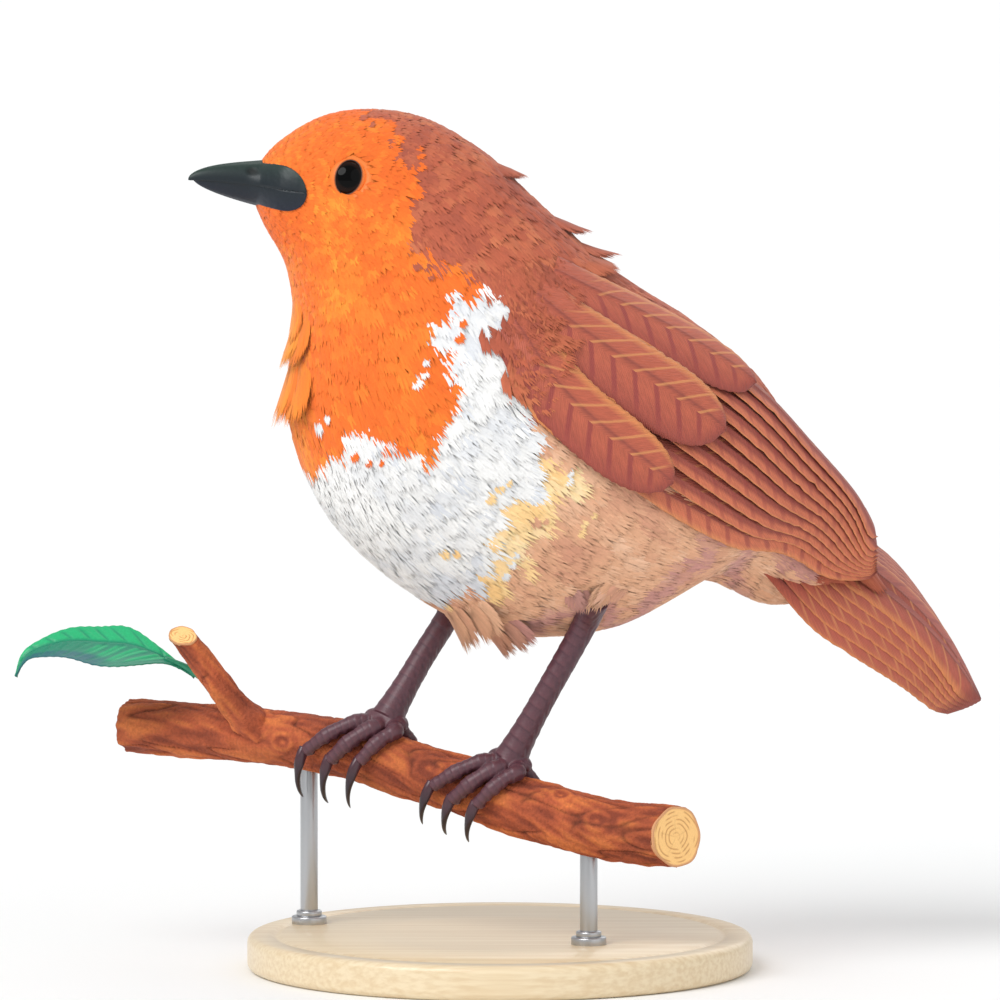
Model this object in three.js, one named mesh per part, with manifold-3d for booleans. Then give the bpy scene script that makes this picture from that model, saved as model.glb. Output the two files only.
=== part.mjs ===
// European robin (Erithacus rubecula), life size, gripping a cut length of branch on a plain display stand.
// Millimetres, +Z up. The origin is the centre of the stand's underside. The bird faces -X and shows its
// left side to -Y. Its own frame has x from beak (-) to tail (+), y to its right, and z up.

import * as THREE from 'three';
import { mergeVertices } from 'three/addons/utils/BufferGeometryUtils.js';
import Module from 'manifold-3d';

const wasm = await Module();
wasm.setup();

// ---- Driving dimensions -------------------------------------------------------------------------

const GAP = 0.3;
const { cos, sin, PI, sqrt, min, max } = Math;
const DEGREE = PI / 180;

// Where the bird's own frame stands in the model, and how far it is turned toward -Y.
const BIRD_PLACE = [2.8, 2.5, 0];
const BIRD_YAW = 12 * DEGREE;

// Cross-sections of head, neck and trunk to the outside of the plumage: [x, z] on the back, [x, z] on
// the underside, and the half width. A place along the bird is a number of sections from the bill root.
const BODY_SECTIONS = [
  { at: 'bill root', back: [-38.0, 115.0], under: [-38.4, 110.3], half: 2.5 },
  { at: 'lores', back: [-34.9, 118.8], under: [-37.2, 106.4], half: 5.8 },
  { at: 'eyes', back: [-27.2, 122.6], under: [-34.3, 100.9], half: 8.9 },
  { at: 'nape', back: [-16.2, 122.5], under: [-32.9, 93.4], half: 11.9 },
  { at: 'neck', back: [-6.5, 117.6], under: [-33.4, 86.4], half: 14.4 },
  { at: 'shoulder', back: [3.0, 109.8], under: [-34.5, 78.4], half: 18.4 },
  { at: 'breast', back: [13.4, 100.6], under: [-29.2, 64.8], half: 21.6 },
  { at: 'keel', back: [24.0, 91.8], under: [-18.2, 53.7], half: 22.0 },
  { at: 'belly', back: [33.0, 83.0], under: [-3.5, 47.8], half: 20.2 },
  { at: 'thigh', back: [40.6, 74.4], under: [12.5, 48.0], half: 16.0 },
  { at: 'vent', back: [46.4, 66.6], under: [26.0, 54.6], half: 10.8 },
  { at: 'undertail', back: [49.4, 60.8], under: [36.4, 51.8], half: 7.0 },
  { at: 'tail root', back: [50.2, 57.2], under: [43.4, 51.8], half: 4.2 },
];
const RINGS_PER_SECTION = 2.2;
const BODY_SIDES = 24;
// Head, neck and trunk meet at these sections, a hair's breadth apart.
const HEAD_END = 3.35;
const NECK_END = 4.95;
const CUT_WIDTH = 0.1;

// The folded wing lies on the trunk's sections as far as the keel, then on these, down to its tip.
const WING_SECTIONS = [
  { at: 'belly', back: [34.8, 84.8], under: [-3.5, 47.8], half: 20.2 },
  { at: 'thigh', back: [43.0, 76.0], under: [12.5, 48.0], half: 16.0 },
  { at: 'vent', back: [48.6, 68.8], under: [27.0, 53.8], half: 11.2 },
  { at: 'primaries', back: [51.8, 63.4], under: [38.5, 51.6], half: 7.2 },
  { at: 'wing tip', back: [53.4, 58.6], under: [49.4, 53.8], half: 3.6 },
];
// The wing's upper and lower edge at each of its sections, in degrees round the body from the back.
const WING_EDGES = [
  { section: 5.1, upper: 58, lower: 72 },
  { section: 5.45, upper: 40, lower: 83 },
  { section: 6, upper: 31, lower: 88 },
  { section: 7, upper: 24, lower: 87 },
  { section: 8, upper: 22, lower: 87 },
  { section: 9, upper: 22, lower: 91 },
  { section: 10, upper: 25, lower: 95 },
  { section: 11, upper: 33, lower: 99 },
  { section: 12, upper: 62, lower: 98 },
];
const WING_THICKNESS = { shoulder: 2.7, tip: 1.2 };
// Share of its thickness that the wing keeps at its upper and lower edges.
const WING_RIM = 0.35;
const WING_CLEARANCE = 0.45;
const WING_COLUMNS = 15;
const WING_ROWS = 7;

// Tail: a shallow roof of feathers, rolled a little so that its upper side shows on the left.
const TAIL_ROOT = [38.5, 62.8];
const TAIL_TIP = [66.4, 38.2];
const TAIL_HALF = { root: 7.2, tip: 7.2, bulge: 4.2 };
const TAIL_ROOF_DROP = { root: 2.0, tip: 2.8 };
const TAIL_THICKNESS = 1.7;
const TAIL_CORNER = 5.0;
const TAIL_ROLL = 35 * DEGREE;
const TAIL_COLUMNS = 8;
const TAIL_ROWS = 8;

// Bill: both halves taper from inside the face to one tip; the cutting edges meet along the gape line.
const BILL_ROOT = [-33.4, 111.7];
const BILL_TIP = [-48.4, 113.6];
const BILL_HALF_WIDTH = 3.1;
const BILL_UPPER_DEPTH = 3.6;
const BILL_LOWER_DEPTH = 2.75;
const BILL_TAPER = 0.68;
const BILL_POINT = 0.22;
const BILL_HOOK = 0.5;
const BILL_STEPS = 9;
const BILL_SIDES = 8;

const EYE_RADIUS = 3.3;
const EYE_PLACE = [-26.3, 6.9, 113.2];
const EYE_SIDES = 14;
const EYE_RINGS = 9;

// Legs. Each foot stands at a distance along the branch; the ankle hides in the belly plumage.
const LEGS = {
  left: { side: -1, site: 62.5, ankle: [8.1, 8.6, 52.4], hip: [7.5, 11.5, 63], exit: [7.3, 8.7, 48.6] },
  right: { side: 1, site: 41.8, ankle: [-6.3, 8.4, 55.6], hip: [-2, 12.0, 64], exit: [-7.8, 8.2, 49.4] },
};
const THIGH_RADIUS = { top: 6.6, bottom: 2.5 };
const THIGH_ROUNDING = 0.7;
const TARSUS_RADIUS = { ankle: 1.8, shank: 1.45, foot: 1.85 };
const PAD = { along: 3.7, round: 2.1, lift: 1.65 };
const SHANK_SINK = 0.4;
const SHANK_BOW = 0.35;

// Toes wrap round the branch: start and end angle from its top toward -Y, and shift along it.
const TOES = [
  { name: 'inner', angles: [24, 92], starts: 2.8, shift: -4.5, radius: 1.12 },
  { name: 'middle', angles: [26, 102], starts: 0, shift: -5.1, radius: 1.2 },
  { name: 'outer', angles: [24, 98], starts: -2.8, shift: -5.3, radius: 1.1 },
  { name: 'hind', angles: [-24, -92], starts: 0, shift: 3.4, radius: 1.2 },
];
const TOE_TIP_SCALE = 0.72;
const TOE_FAN = 1.5;
const TOE_CLEARANCE = 0.3;
const TOE_KNUCKLE = 0.08;
const CLAW = { start: 8, turn: 40, radius: 0.68, point: 0.14, shift: -0.9, arch: 0.35, hang: 2.3 };

// Branch: centre line from the thin end to the thick one, radii there, and the cut side twig.
const BRANCH_LINE = [
  [-53.3, 26.5, 31.7],
  [-38.4, 17.9, 31.6],
  [-24.1, 9.7, 30.8],
  [-9.9, 1.5, 27.5],
  [4.3, -6.7, 23.7],
  [14.2, -12.4, 21.7],
  [25.8, -19.0, 21.2],
];
const BRANCH_RADIUS = { thin: 3.6, thick: 4.15 };
const BRANCH_STEPS = 22;
const BRANCH_SIDES = 12;
const TWIG_LINE = [[-31.5, 13.4, 31.0], [-36.6, 13.0, 36.6], [-41.2, 12.2, 42.4], [-44.6, 11.4, 46.6]];
const TWIG_RADIUS = { root: 3.0, end: 1.85 };

// Leaf: its midrib, half width and the lean of its blade toward -Y.
const LEAF_LINE = [
  [-43.6, 14.8, 40.0],
  [-49.5, 14.8, 43.6],
  [-56.0, 14.6, 44.6],
  [-63.0, 14.2, 43.2],
  [-68.8, 14.0, 39.9],
];
const LEAF_HALF_WIDTH = 5.2;
const LEAF_STALK = 0.45;
const LEAF_CUPPING = 0.12;
const LEAF_THICKNESS = 0.7;
const LEAF_LEAN = 32 * DEGREE;
const LEAF_COLUMNS = 12;
const LEAF_ROWS = 4;

// Stand: a round base with an eased rim and two rods.
const BASE_RADIUS = 36;
const BASE_HEIGHT = 5;
const BASE_EASE = 1.2;
const BASE_SIDES = 36;
const ROD_RADIUS = 1.25;
const ROD_SITES = { stand_rod_far: 30.0, stand_rod_near: 77.0 };
const ROD_SIDES = 16;

const COLOURS = {
  orange: '#f27a2c', brown: '#a9583c', white: '#eeeeee', bill: '#25333a', eye: '#0b0d0f',
  leg: '#6b414c', claw: '#3c2230', bark: '#a65030', leaf: '#2f9a72', base: '#d9c4a3', steel: '#a8a9ab',
};

// ---- Geometry helpers ---------------------------------------------------------------------------

const vector = ([x, y, z]) => new THREE.Vector3(x, y, z);
const mix = THREE.MathUtils.lerp;
const curveThrough = (points) => new THREE.CatmullRomCurve3(points.map(vector));

/** A BufferGeometry from vertices and triangles, wound so that its faces point out. */
function closedGeometry(vertices, triangles) {
  let volume = 0;
  const normal = new THREE.Vector3();
  for (const [a, b, c] of triangles) {
    volume += normal.crossVectors(vertices[a], vertices[b]).dot(vertices[c]);
  }
  const wound = volume < 0 ? triangles.map(([a, b, c]) => [a, c, b]) : triangles;
  const geometry = new THREE.BufferGeometry().setFromPoints(vertices);
  geometry.setIndex(wound.flat());
  return geometry;
}

/** A closed solid through rings that all have the same number of points, with fanned ends. */
function loft(rings) {
  const sides = rings[0].length;
  const vertices = rings.flat();
  const triangles = [];
  for (let ring = 0; ring < rings.length - 1; ring += 1) {
    for (let side = 0; side < sides; side += 1) {
      const a = ring * sides + side;
      const b = ring * sides + (side + 1) % sides;
      triangles.push([a, b, b + sides], [a, b + sides, a + sides]);
    }
  }
  for (const [first, turned] of [[0, true], [(rings.length - 1) * sides, false]]) {
    const centre = new THREE.Vector3();
    for (let side = 0; side < sides; side += 1) centre.add(vertices[first + side]);
    const middle = vertices.push(centre.divideScalar(sides)) - 1;
    for (let side = 0; side < sides; side += 1) {
      const edge = [first + side, first + (side + 1) % sides];
      triangles.push(turned ? [middle, edge[1], edge[0]] : [middle, edge[0], edge[1]]);
    }
  }
  return closedGeometry(vertices, triangles);
}

/** A thin solid between two skins; each skin gives a point for a place (u, v) in the unit square. */
function sheet(outer, inner, columns, rows) {
  const rings = [];
  for (let column = 0; column <= columns; column += 1) {
    const ring = [];
    for (let row = 0; row <= rows; row += 1) ring.push(outer(column / columns, row / rows));
    for (let row = rows; row >= 0; row -= 1) ring.push(inner(column / columns, row / rows));
    rings.push(ring);
  }
  const around = rings[0].length;
  const vertices = rings.flat();
  const triangles = [];
  for (let column = 0; column < columns; column += 1) {
    for (let side = 0; side < around; side += 1) {
      const a = column * around + side;
      const b = column * around + (side + 1) % around;
      triangles.push([a, b, b + around], [a, b + around, a + around]);
    }
  }
  for (const [first, turned] of [[0, true], [columns * around, false]]) {
    for (let row = 0; row < rows; row += 1) {
      const [a, b] = [first + row, first + row + 1];
      const [c, d] = [first + around - 2 - row, first + around - 1 - row];
      triangles.push(...(turned ? [[a, c, b], [a, d, c]] : [[a, b, c], [a, c, d]]));
    }
  }
  return closedGeometry(vertices, triangles);
}

/** A round solid along a curve, with its radius a function of the share of the length. */
function limb(curve, radiusAt, steps, sides) {
  const frames = curve.computeFrenetFrames(steps, false);
  const rings = [];
  for (let step = 0; step <= steps; step += 1) {
    const share = step / steps;
    const centre = curve.getPointAt(share);
    const ring = [];
    for (let side = 0; side < sides; side += 1) {
      const angle = 2 * PI * side / sides;
      const point = centre.clone();
      point.addScaledVector(frames.normals[step], radiusAt(share) * cos(angle));
      point.addScaledVector(frames.binormals[step], radiusAt(share) * sin(angle));
      ring.push(point);
    }
    rings.push(ring);
  }
  return loft(rings);
}

function toManifold(geometry) {
  const bare = geometry.clone();
  bare.deleteAttribute('normal');
  bare.deleteAttribute('uv');
  const merged = mergeVertices(bare, 1e-5);
  const vertProperties = new Float32Array(merged.attributes.position.array);
  const triVerts = new Uint32Array(merged.index.array);
  return new wasm.Manifold(new wasm.Mesh({ numProp: 3, vertProperties, triVerts }));
}

function fromManifold(solid) {
  const mesh = solid.getMesh();
  const geometry = new THREE.BufferGeometry();
  geometry.setAttribute('position', new THREE.BufferAttribute(new Float32Array(mesh.vertProperties), 3));
  geometry.setIndex(Array.from(mesh.triVerts));
  return geometry;
}

function cut(geometry, ...tools) {
  let solid = toManifold(geometry);
  for (const tool of tools) solid = solid.subtract(toManifold(tool));
  return fromManifold(solid);
}

function joined(first, ...others) {
  let solid = toManifold(first);
  for (const other of others) solid = solid.add(toManifold(other));
  return fromManifold(solid);
}

/** The same solid on the other side of the bird's middle plane. */
function mirrored(geometry) {
  const index = geometry.index.array;
  const copy = geometry.clone().applyMatrix4(new THREE.Matrix4().makeScale(1, -1, 1));
  const turned = [];
  for (let start = 0; start < index.length; start += 3) {
    turned.push(index[start], index[start + 2], index[start + 1]);
  }
  copy.setIndex(turned);
  return copy;
}

const robin = new THREE.Group();
const bird = new THREE.Group();
bird.position.set(...BIRD_PLACE);
bird.rotation.z = BIRD_YAW;
bird.updateMatrixWorld();
robin.add(bird);
const toBird = bird.matrixWorld.clone().invert();

function addPart(group, name, geometry, color, roughness = 0.85, metalness = 0) {
  const mesh = new THREE.Mesh(geometry, new THREE.MeshStandardMaterial({ color, roughness, metalness }));
  mesh.name = name;
  group.add(mesh);
}

// ---- Head, neck and trunk -----------------------------------------------------------------------

/** A point on the body: section number, angle round it from the back toward one side, height above it. */
function sectionSurface(sections) {
  const backs = curveThrough(sections.map(({ back: [x, z] }) => [x, 0, z]));
  const unders = curveThrough(sections.map(({ under: [x, z] }) => [x, 0, z]));
  const halves = curveThrough(sections.map(({ half }, index) => [index, half, 0]));
  return (section, angle, height) => {
    const share = min(1, max(0, section / (sections.length - 1)));
    const back = backs.getPoint(share);
    const under = unders.getPoint(share);
    const centre = back.clone().add(under).multiplyScalar(0.5);
    const reach = back.clone().sub(centre);
    const depth = reach.length();
    centre.addScaledVector(reach, cos(angle) * (1 + height / depth));
    centre.y = sin(angle) * (halves.getPoint(share).y + height);
    return centre;
  };
}

const bodySurface = sectionSurface(BODY_SECTIONS);

function bodySolid(from, to, height = 0) {
  const steps = Math.ceil((to - from) * RINGS_PER_SECTION);
  const rings = [];
  for (let step = 0; step <= steps; step += 1) {
    const section = mix(from, to, step / steps);
    const ring = [];
    for (let side = 0; side < BODY_SIDES; side += 1) {
      ring.push(bodySurface(section, 2 * PI * side / BODY_SIDES, height));
    }
    rings.push(ring);
  }
  return loft(rings);
}

function billHalf(direction, grow = 0) {
  const root = new THREE.Vector3(BILL_ROOT[0], 0, BILL_ROOT[1]);
  const tip = new THREE.Vector3(BILL_TIP[0], 0, BILL_TIP[1]);
  const depth = direction > 0 ? BILL_UPPER_DEPTH : BILL_LOWER_DEPTH;
  const rings = [];
  for (let step = 0; step <= BILL_STEPS; step += 1) {
    const share = step / BILL_STEPS;
    const taper = (1 - share) ** BILL_TAPER;
    const centre = root.clone().lerp(tip, share);
    centre.z += direction * (GAP / 2 - grow) - BILL_HOOK * share ** 4;
    const ring = [];
    for (let side = 0; side < BILL_SIDES; side += 1) {
      const angle = PI * side / (BILL_SIDES - 1);
      const wide = BILL_POINT + BILL_HALF_WIDTH * taper + grow;
      const high = BILL_POINT + depth * taper + 2 * grow;
      ring.push(new THREE.Vector3(centre.x, wide * cos(angle), centre.z + direction * high * sin(angle)));
    }
    rings.push(ring);
  }
  return loft(rings);
}

function eyeBall(side, grow = 0) {
  const ball = new THREE.SphereGeometry(EYE_RADIUS + grow, EYE_SIDES, EYE_RINGS);
  return ball.translate(EYE_PLACE[0], side * EYE_PLACE[1], EYE_PLACE[2]);
}

function thigh({ side, hip, exit }, grow = 0) {
  const line = curveThrough([
    [hip[0], side * hip[1], hip[2]],
    [mix(hip[0], exit[0], 0.6), side * mix(hip[1], exit[1], 0.45), mix(hip[2], exit[2], 0.6)],
    [exit[0], side * exit[1], exit[2]],
  ]);
  const radiusAt = (share) => {
    const top = THIGH_RADIUS.top * sqrt(1 - THIGH_ROUNDING * (1 - share) ** 6);
    return mix(top, THIGH_RADIUS.bottom, share ** 1.4) + grow;
  };
  return limb(line, radiusAt, 7, 12);
}

const headSolid = cut(
  bodySolid(0, HEAD_END),
  billHalf(1, GAP),
  billHalf(-1, GAP),
  eyeBall(-1, GAP),
  eyeBall(1, GAP),
);
addPart(bird, 'head', headSolid, COLOURS.orange);
addPart(bird, 'neck', bodySolid(HEAD_END + CUT_WIDTH, NECK_END), COLOURS.orange);
const trunkSolid = cut(
  bodySolid(NECK_END + CUT_WIDTH, BODY_SECTIONS.length - 1),
  thigh(LEGS.left, GAP),
  thigh(LEGS.right, GAP),
);
addPart(bird, 'trunk', trunkSolid, COLOURS.brown);
addPart(bird, 'bill_upper', billHalf(1), COLOURS.bill, 0.45);
addPart(bird, 'bill_lower', billHalf(-1), COLOURS.bill, 0.45);
addPart(bird, 'eye_left', eyeBall(-1), COLOURS.eye, 0.08);
addPart(bird, 'eye_right', eyeBall(1), COLOURS.eye, 0.08);

// ---- Tail and wings -----------------------------------------------------------------------------

/** The tail from root to tip (u) and from its left edge to its right one (v). */
function tailSheet(grow = 0) {
  const root = new THREE.Vector3(TAIL_ROOT[0], 0, TAIL_ROOT[1]);
  const tip = new THREE.Vector3(TAIL_TIP[0], 0, TAIL_TIP[1]);
  const along = tip.clone().sub(root).normalize();
  const up = new THREE.Vector3(-along.z, 0, along.x);
  const across = new THREE.Vector3(0, 1, 0);
  up.applyAxisAngle(along, TAIL_ROLL);
  across.applyAxisAngle(along, TAIL_ROLL);
  const skin = (height) => (u, v) => {
    const place = 2 * v - 1;
    const end = root.distanceTo(tip) - TAIL_CORNER * Math.abs(place) ** 2.4 * u;
    const half = mix(TAIL_HALF.root, TAIL_HALF.tip, u) + TAIL_HALF.bulge * sin(PI * u ** 1.1) + grow;
    const drop = mix(TAIL_ROOF_DROP.root, TAIL_ROOF_DROP.tip, u) * place ** 2;
    const point = root.clone().addScaledVector(along, u * (end + grow));
    return point.addScaledVector(across, half * place).addScaledVector(up, height - drop);
  };
  return sheet(skin(TAIL_THICKNESS / 2 + grow), skin(-TAIL_THICKNESS / 2 - grow), TAIL_COLUMNS, TAIL_ROWS);
}

const wingSurface = sectionSurface([...BODY_SECTIONS.slice(0, 8), ...WING_SECTIONS]);

/** The left wing from shoulder to tip (u) and from its upper edge to its lower one (v). */
function wingSheet() {
  const edges = (key) => curveThrough(WING_EDGES.map((edge) => [edge.section, edge[key], 0]));
  const uppers = edges('upper');
  const lowers = edges('lower');
  const skin = (rise) => (u, v) => {
    const upper = uppers.getPoint(u);
    const lower = lowers.getPoint(u);
    const thickness = mix(WING_THICKNESS.shoulder, WING_THICKNESS.tip, sqrt(u));
    const rim = mix(WING_RIM, 1, sqrt(max(0, sin(PI * v))));
    const height = WING_CLEARANCE + rise * thickness * rim;
    return wingSurface(upper.x, -mix(upper.y, lower.y, v) * DEGREE, height);
  };
  return sheet(skin(1), skin(0), WING_COLUMNS, WING_ROWS);
}

const trunkClearance = bodySolid(NECK_END - 1, BODY_SECTIONS.length - 1, GAP);
const leftWing = cut(wingSheet(), tailSheet(GAP), trunkClearance);
const rightWing = cut(mirrored(wingSheet()), tailSheet(GAP), trunkClearance);
addPart(bird, 'wing_left', leftWing, COLOURS.brown);
addPart(bird, 'wing_right', rightWing, COLOURS.brown);
addPart(bird, 'tail', cut(tailSheet(), trunkClearance), COLOURS.brown);

// ---- Branch, twig and leaf ----------------------------------------------------------------------

const branchLine = curveThrough(BRANCH_LINE);
const branchLength = branchLine.getLength();
const branchRadius = (share) => mix(BRANCH_RADIUS.thin, BRANCH_RADIUS.thick, share);

function branchSolid(grow = 0) {
  return limb(branchLine, (share) => branchRadius(share) + grow, BRANCH_STEPS, BRANCH_SIDES);
}

/** A point by the bark: distance from the thin end, angle from the top toward -Y, height above the bark. */
function barkPoint(distance, angle, height) {
  const share = distance / branchLength;
  const tangent = branchLine.getTangentAt(share);
  const up = new THREE.Vector3(0, 0, 1).addScaledVector(tangent, -tangent.z).normalize();
  const near = tangent.clone().cross(up);
  const reach = branchRadius(share) + height;
  const point = branchLine.getPointAt(share);
  return point.addScaledVector(up, reach * cos(angle)).addScaledVector(near, reach * sin(angle));
}

function twigSolid() {
  const flare = (share) => mix(TWIG_RADIUS.root, TWIG_RADIUS.end, 1 - (1 - share) ** 2.2);
  return limb(curveThrough(TWIG_LINE), flare, 10, 12);
}

/** The leaf from its stalk to its tip (u) and from one edge to the other (v), folded along its midrib. */
function leafSheet() {
  const midrib = curveThrough(LEAF_LINE);
  const skin = (height) => (u, v) => {
    const along = midrib.getTangentAt(u);
    const flat = new THREE.Vector3(0, -1, 0).cross(along).normalize();
    const across = new THREE.Vector3(0, -cos(LEAF_LEAN), 0);
    across.addScaledVector(flat, sin(LEAF_LEAN)).normalize();
    const face = along.clone().cross(across).normalize();
    const place = 2 * v - 1;
    const half = LEAF_STALK + LEAF_HALF_WIDTH * sin(PI * u ** 0.8) ** 0.9;
    const point = midrib.getPointAt(u).addScaledVector(across, half * place);
    return point.addScaledVector(face, height + LEAF_CUPPING * half * place ** 2);
  };
  return sheet(skin(LEAF_THICKNESS / 2), skin(-LEAF_THICKNESS / 2), LEAF_COLUMNS, LEAF_ROWS);
}

const branchClearance = branchSolid(GAP);
addPart(robin, 'perch_branch', branchSolid(), COLOURS.bark, 0.9);
addPart(robin, 'perch_twig', cut(twigSolid(), branchClearance), COLOURS.bark, 0.9);
addPart(robin, 'perch_leaf', leafSheet(), COLOURS.leaf, 0.6);

// ---- Legs, toes and claws -----------------------------------------------------------------------

/** The pad under the foot, where the toes spread, in the model's frame. */
function footPad(site, grow = 0) {
  const centre = barkPoint(site, 0, PAD.lift);
  const pad = new THREE.SphereGeometry(1, 10, 7);
  pad.scale(PAD.along + grow, PAD.round + grow, PAD.round + grow);
  const alongBranch = branchLine.getTangentAt(site / branchLength);
  pad.applyQuaternion(new THREE.Quaternion().setFromUnitVectors(new THREE.Vector3(1, 0, 0), alongBranch));
  return pad.translate(centre.x, centre.y, centre.z);
}

/** The bare shank from the ankle to the pad, in the bird's frame. */
function tarsus({ side, site, ankle }) {
  const foot = barkPoint(site, 0, PAD.lift + SHANK_SINK).applyMatrix4(toBird);
  const top = new THREE.Vector3(ankle[0], side * ankle[1], ankle[2]);
  const middle = top.clone().lerp(foot, 0.5).add(new THREE.Vector3(SHANK_BOW, 0, 0));
  const radiusAt = (share) => {
    const end = share < 0.5 ? TARSUS_RADIUS.ankle : TARSUS_RADIUS.foot;
    return mix(TARSUS_RADIUS.shank, end, Math.abs(2 * share - 1) ** 3);
  };
  return limb(new THREE.CatmullRomCurve3([top, middle, foot]), radiusAt, 9, 9);
}

/** The middle line of a toe, or of its claw past the end of the toe. */
function toeLine({ angles, starts, shift, radius }, side, site, isClaw) {
  const fan = side < 0 ? -1 : 1;
  const points = [];
  const steps = 8;
  const turn = Math.sign(angles[1] - angles[0]);
  for (let step = 0; step <= steps; step += 1) {
    const share = step / steps;
    const alongToe = isClaw ? 1 : share;
    const alongClaw = isClaw ? share : 0;
    const curl = mix(angles[0], angles[1], alongToe);
    const hooked = isClaw ? turn * (CLAW.start + CLAW.turn * alongClaw) : 0;
    const spread = fan * starts * mix(1, TOE_FAN, alongToe);
    const drift = shift * alongToe + CLAW.shift * alongClaw * turn;
    const rest = radius * mix(1, TOE_TIP_SCALE, alongToe) + TOE_CLEARANCE;
    const lift = mix(rest, CLAW.hang, alongClaw) + CLAW.arch * sin(PI * alongClaw);
    points.push(barkPoint(site + spread + drift, (curl + hooked) * DEGREE, lift));
  }
  return new THREE.CatmullRomCurve3(points);
}

function toe(shape, side, site) {
  const knuckles = (share) => 1 + TOE_KNUCKLE * cos(6 * PI * share);
  const radiusAt = (share) => shape.radius * mix(1, TOE_TIP_SCALE, share) * knuckles(share);
  return cut(limb(toeLine(shape, side, site, false), radiusAt, 9, 8), footPad(site, GAP));
}

function claw(shape, side, site) {
  const radiusAt = (share) => mix(CLAW.radius, CLAW.point, share ** 0.9);
  return limb(toeLine(shape, side, site, true), radiusAt, 6, 6);
}

for (const [name, leg] of Object.entries(LEGS)) {
  const { side, site } = leg;
  const pad = cut(footPad(site), branchClearance).applyMatrix4(toBird);
  const thighSolid = thigh(leg);
  const shank = cut(tarsus(leg), bodySolid(NECK_END, BODY_SECTIONS.length - 1, GAP), thigh(leg, GAP));
  addPart(bird, `thigh_${name}`, thighSolid, COLOURS.white);
  addPart(bird, `tarsus_${name}`, joined(shank, pad), COLOURS.leg, 0.6);
  for (const shape of TOES) {
    addPart(robin, `toe_${name}_${shape.name}`, toe(shape, side, site), COLOURS.leg, 0.6);
    addPart(robin, `claw_${name}_${shape.name}`, claw(shape, side, site), COLOURS.claw, 0.4);
  }
}

// ---- Stand --------------------------------------------------------------------------------------

function baseSolid() {
  const profile = [
    new THREE.Vector2(0, 0),
    new THREE.Vector2(BASE_RADIUS, 0),
    new THREE.Vector2(BASE_RADIUS, BASE_HEIGHT - BASE_EASE),
    new THREE.Vector2(BASE_RADIUS - BASE_EASE, BASE_HEIGHT),
    new THREE.Vector2(0, BASE_HEIGHT),
  ];
  return new THREE.LatheGeometry(profile, BASE_SIDES).rotateX(PI / 2);
}

function rodSolid(site) {
  const foot = branchLine.getPointAt(site / branchLength);
  const bottom = BASE_HEIGHT + GAP;
  const rod = new THREE.CylinderGeometry(ROD_RADIUS, ROD_RADIUS, foot.z - bottom, ROD_SIDES);
  return rod.rotateX(PI / 2).translate(foot.x, foot.y, (foot.z + bottom) / 2);
}

addPart(robin, 'stand_base', baseSolid(), COLOURS.base, 0.5);
for (const [name, site] of Object.entries(ROD_SITES)) {
  addPart(robin, name, cut(rodSolid(site), branchClearance), COLOURS.steel, 0.35, 0.9);
}

export default robin;
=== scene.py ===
"""European robin (Erithacus rubecula), life size, gripping a cut branch on a plain display stand.

Sizes are millimetres in the bird's own frame unless a comment says otherwise: x runs from bill (-) to tail (+),
y to the bird's right and z up. Meshes are made in metres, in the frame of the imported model.
"""
import logging
import math
from collections.abc import Callable
from dataclasses import dataclass, field
from enum import Enum

import bpy
import numpy as np
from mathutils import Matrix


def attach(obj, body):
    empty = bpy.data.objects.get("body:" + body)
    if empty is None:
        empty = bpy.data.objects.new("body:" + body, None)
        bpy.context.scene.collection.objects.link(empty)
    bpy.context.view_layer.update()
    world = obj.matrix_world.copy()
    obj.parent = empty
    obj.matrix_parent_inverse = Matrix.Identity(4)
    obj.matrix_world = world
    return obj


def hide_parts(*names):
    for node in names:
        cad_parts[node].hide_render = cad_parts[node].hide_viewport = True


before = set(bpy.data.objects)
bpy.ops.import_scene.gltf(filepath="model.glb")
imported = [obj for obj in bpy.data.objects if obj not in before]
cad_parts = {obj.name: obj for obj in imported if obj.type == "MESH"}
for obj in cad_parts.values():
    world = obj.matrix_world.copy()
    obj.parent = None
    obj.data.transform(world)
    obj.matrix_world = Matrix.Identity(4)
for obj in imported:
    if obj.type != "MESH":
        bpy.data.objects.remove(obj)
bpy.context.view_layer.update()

LOG = logging.getLogger("robin")
MM = 0.001
TURN = 2 * math.pi
UP = np.array([0, 0, 1.0])
TONE = "Tone"
BAKE_MAP = "OFBake"
PATTERN_MAP = "Pattern"
BAKE_PATCH = 0.003

# Where the bird's own frame stands in the model, and how far it is turned toward -y.
BIRD_PLACE = np.array([2.8, 2.5, 0.0])
BIRD_YAW = math.radians(12)


# ---- Numbers, curves and meshes -----------------------------------------------------------------------------


def linear(code: str) -> np.ndarray:
    """Turn an sRGB hex code into linear red, green and blue.

    Args:
        code: Six hex digits.

    Returns:
        Three numbers from 0 to 1.
    """
    values = np.array([int(code[start:start + 2], 16) for start in (0, 2, 4)]) / 255
    return np.where(values <= 0.04045, values / 12.92, ((values + 0.055) / 1.055) ** 2.4)


def rgba(code: str) -> tuple[float, float, float, float]:
    """Give the linear colour of an sRGB hex code with full alpha."""
    return (*linear(code), 1.0)


def ease(low: float, high: float, value: np.ndarray) -> np.ndarray:
    """Rise smoothly from 0 at low to 1 at high."""
    share = np.clip((value - low) / (high - low), 0, 1)
    return share * share * (3 - 2 * share)


def blend(first: np.ndarray, second: np.ndarray, share: np.ndarray | float) -> np.ndarray:
    """Give the first where the share is 0, the second where it is 1, and a mixture between."""
    return first + (second - first) * share


def unit(vectors: np.ndarray) -> np.ndarray:
    """Scale vectors to length one."""
    return vectors / np.maximum(np.linalg.norm(vectors, axis=-1, keepdims=True), 1e-9)


def to_model(points: np.ndarray) -> np.ndarray:
    """Move points from the bird's frame to the model's."""
    return turned(points) + BIRD_PLACE


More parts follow.
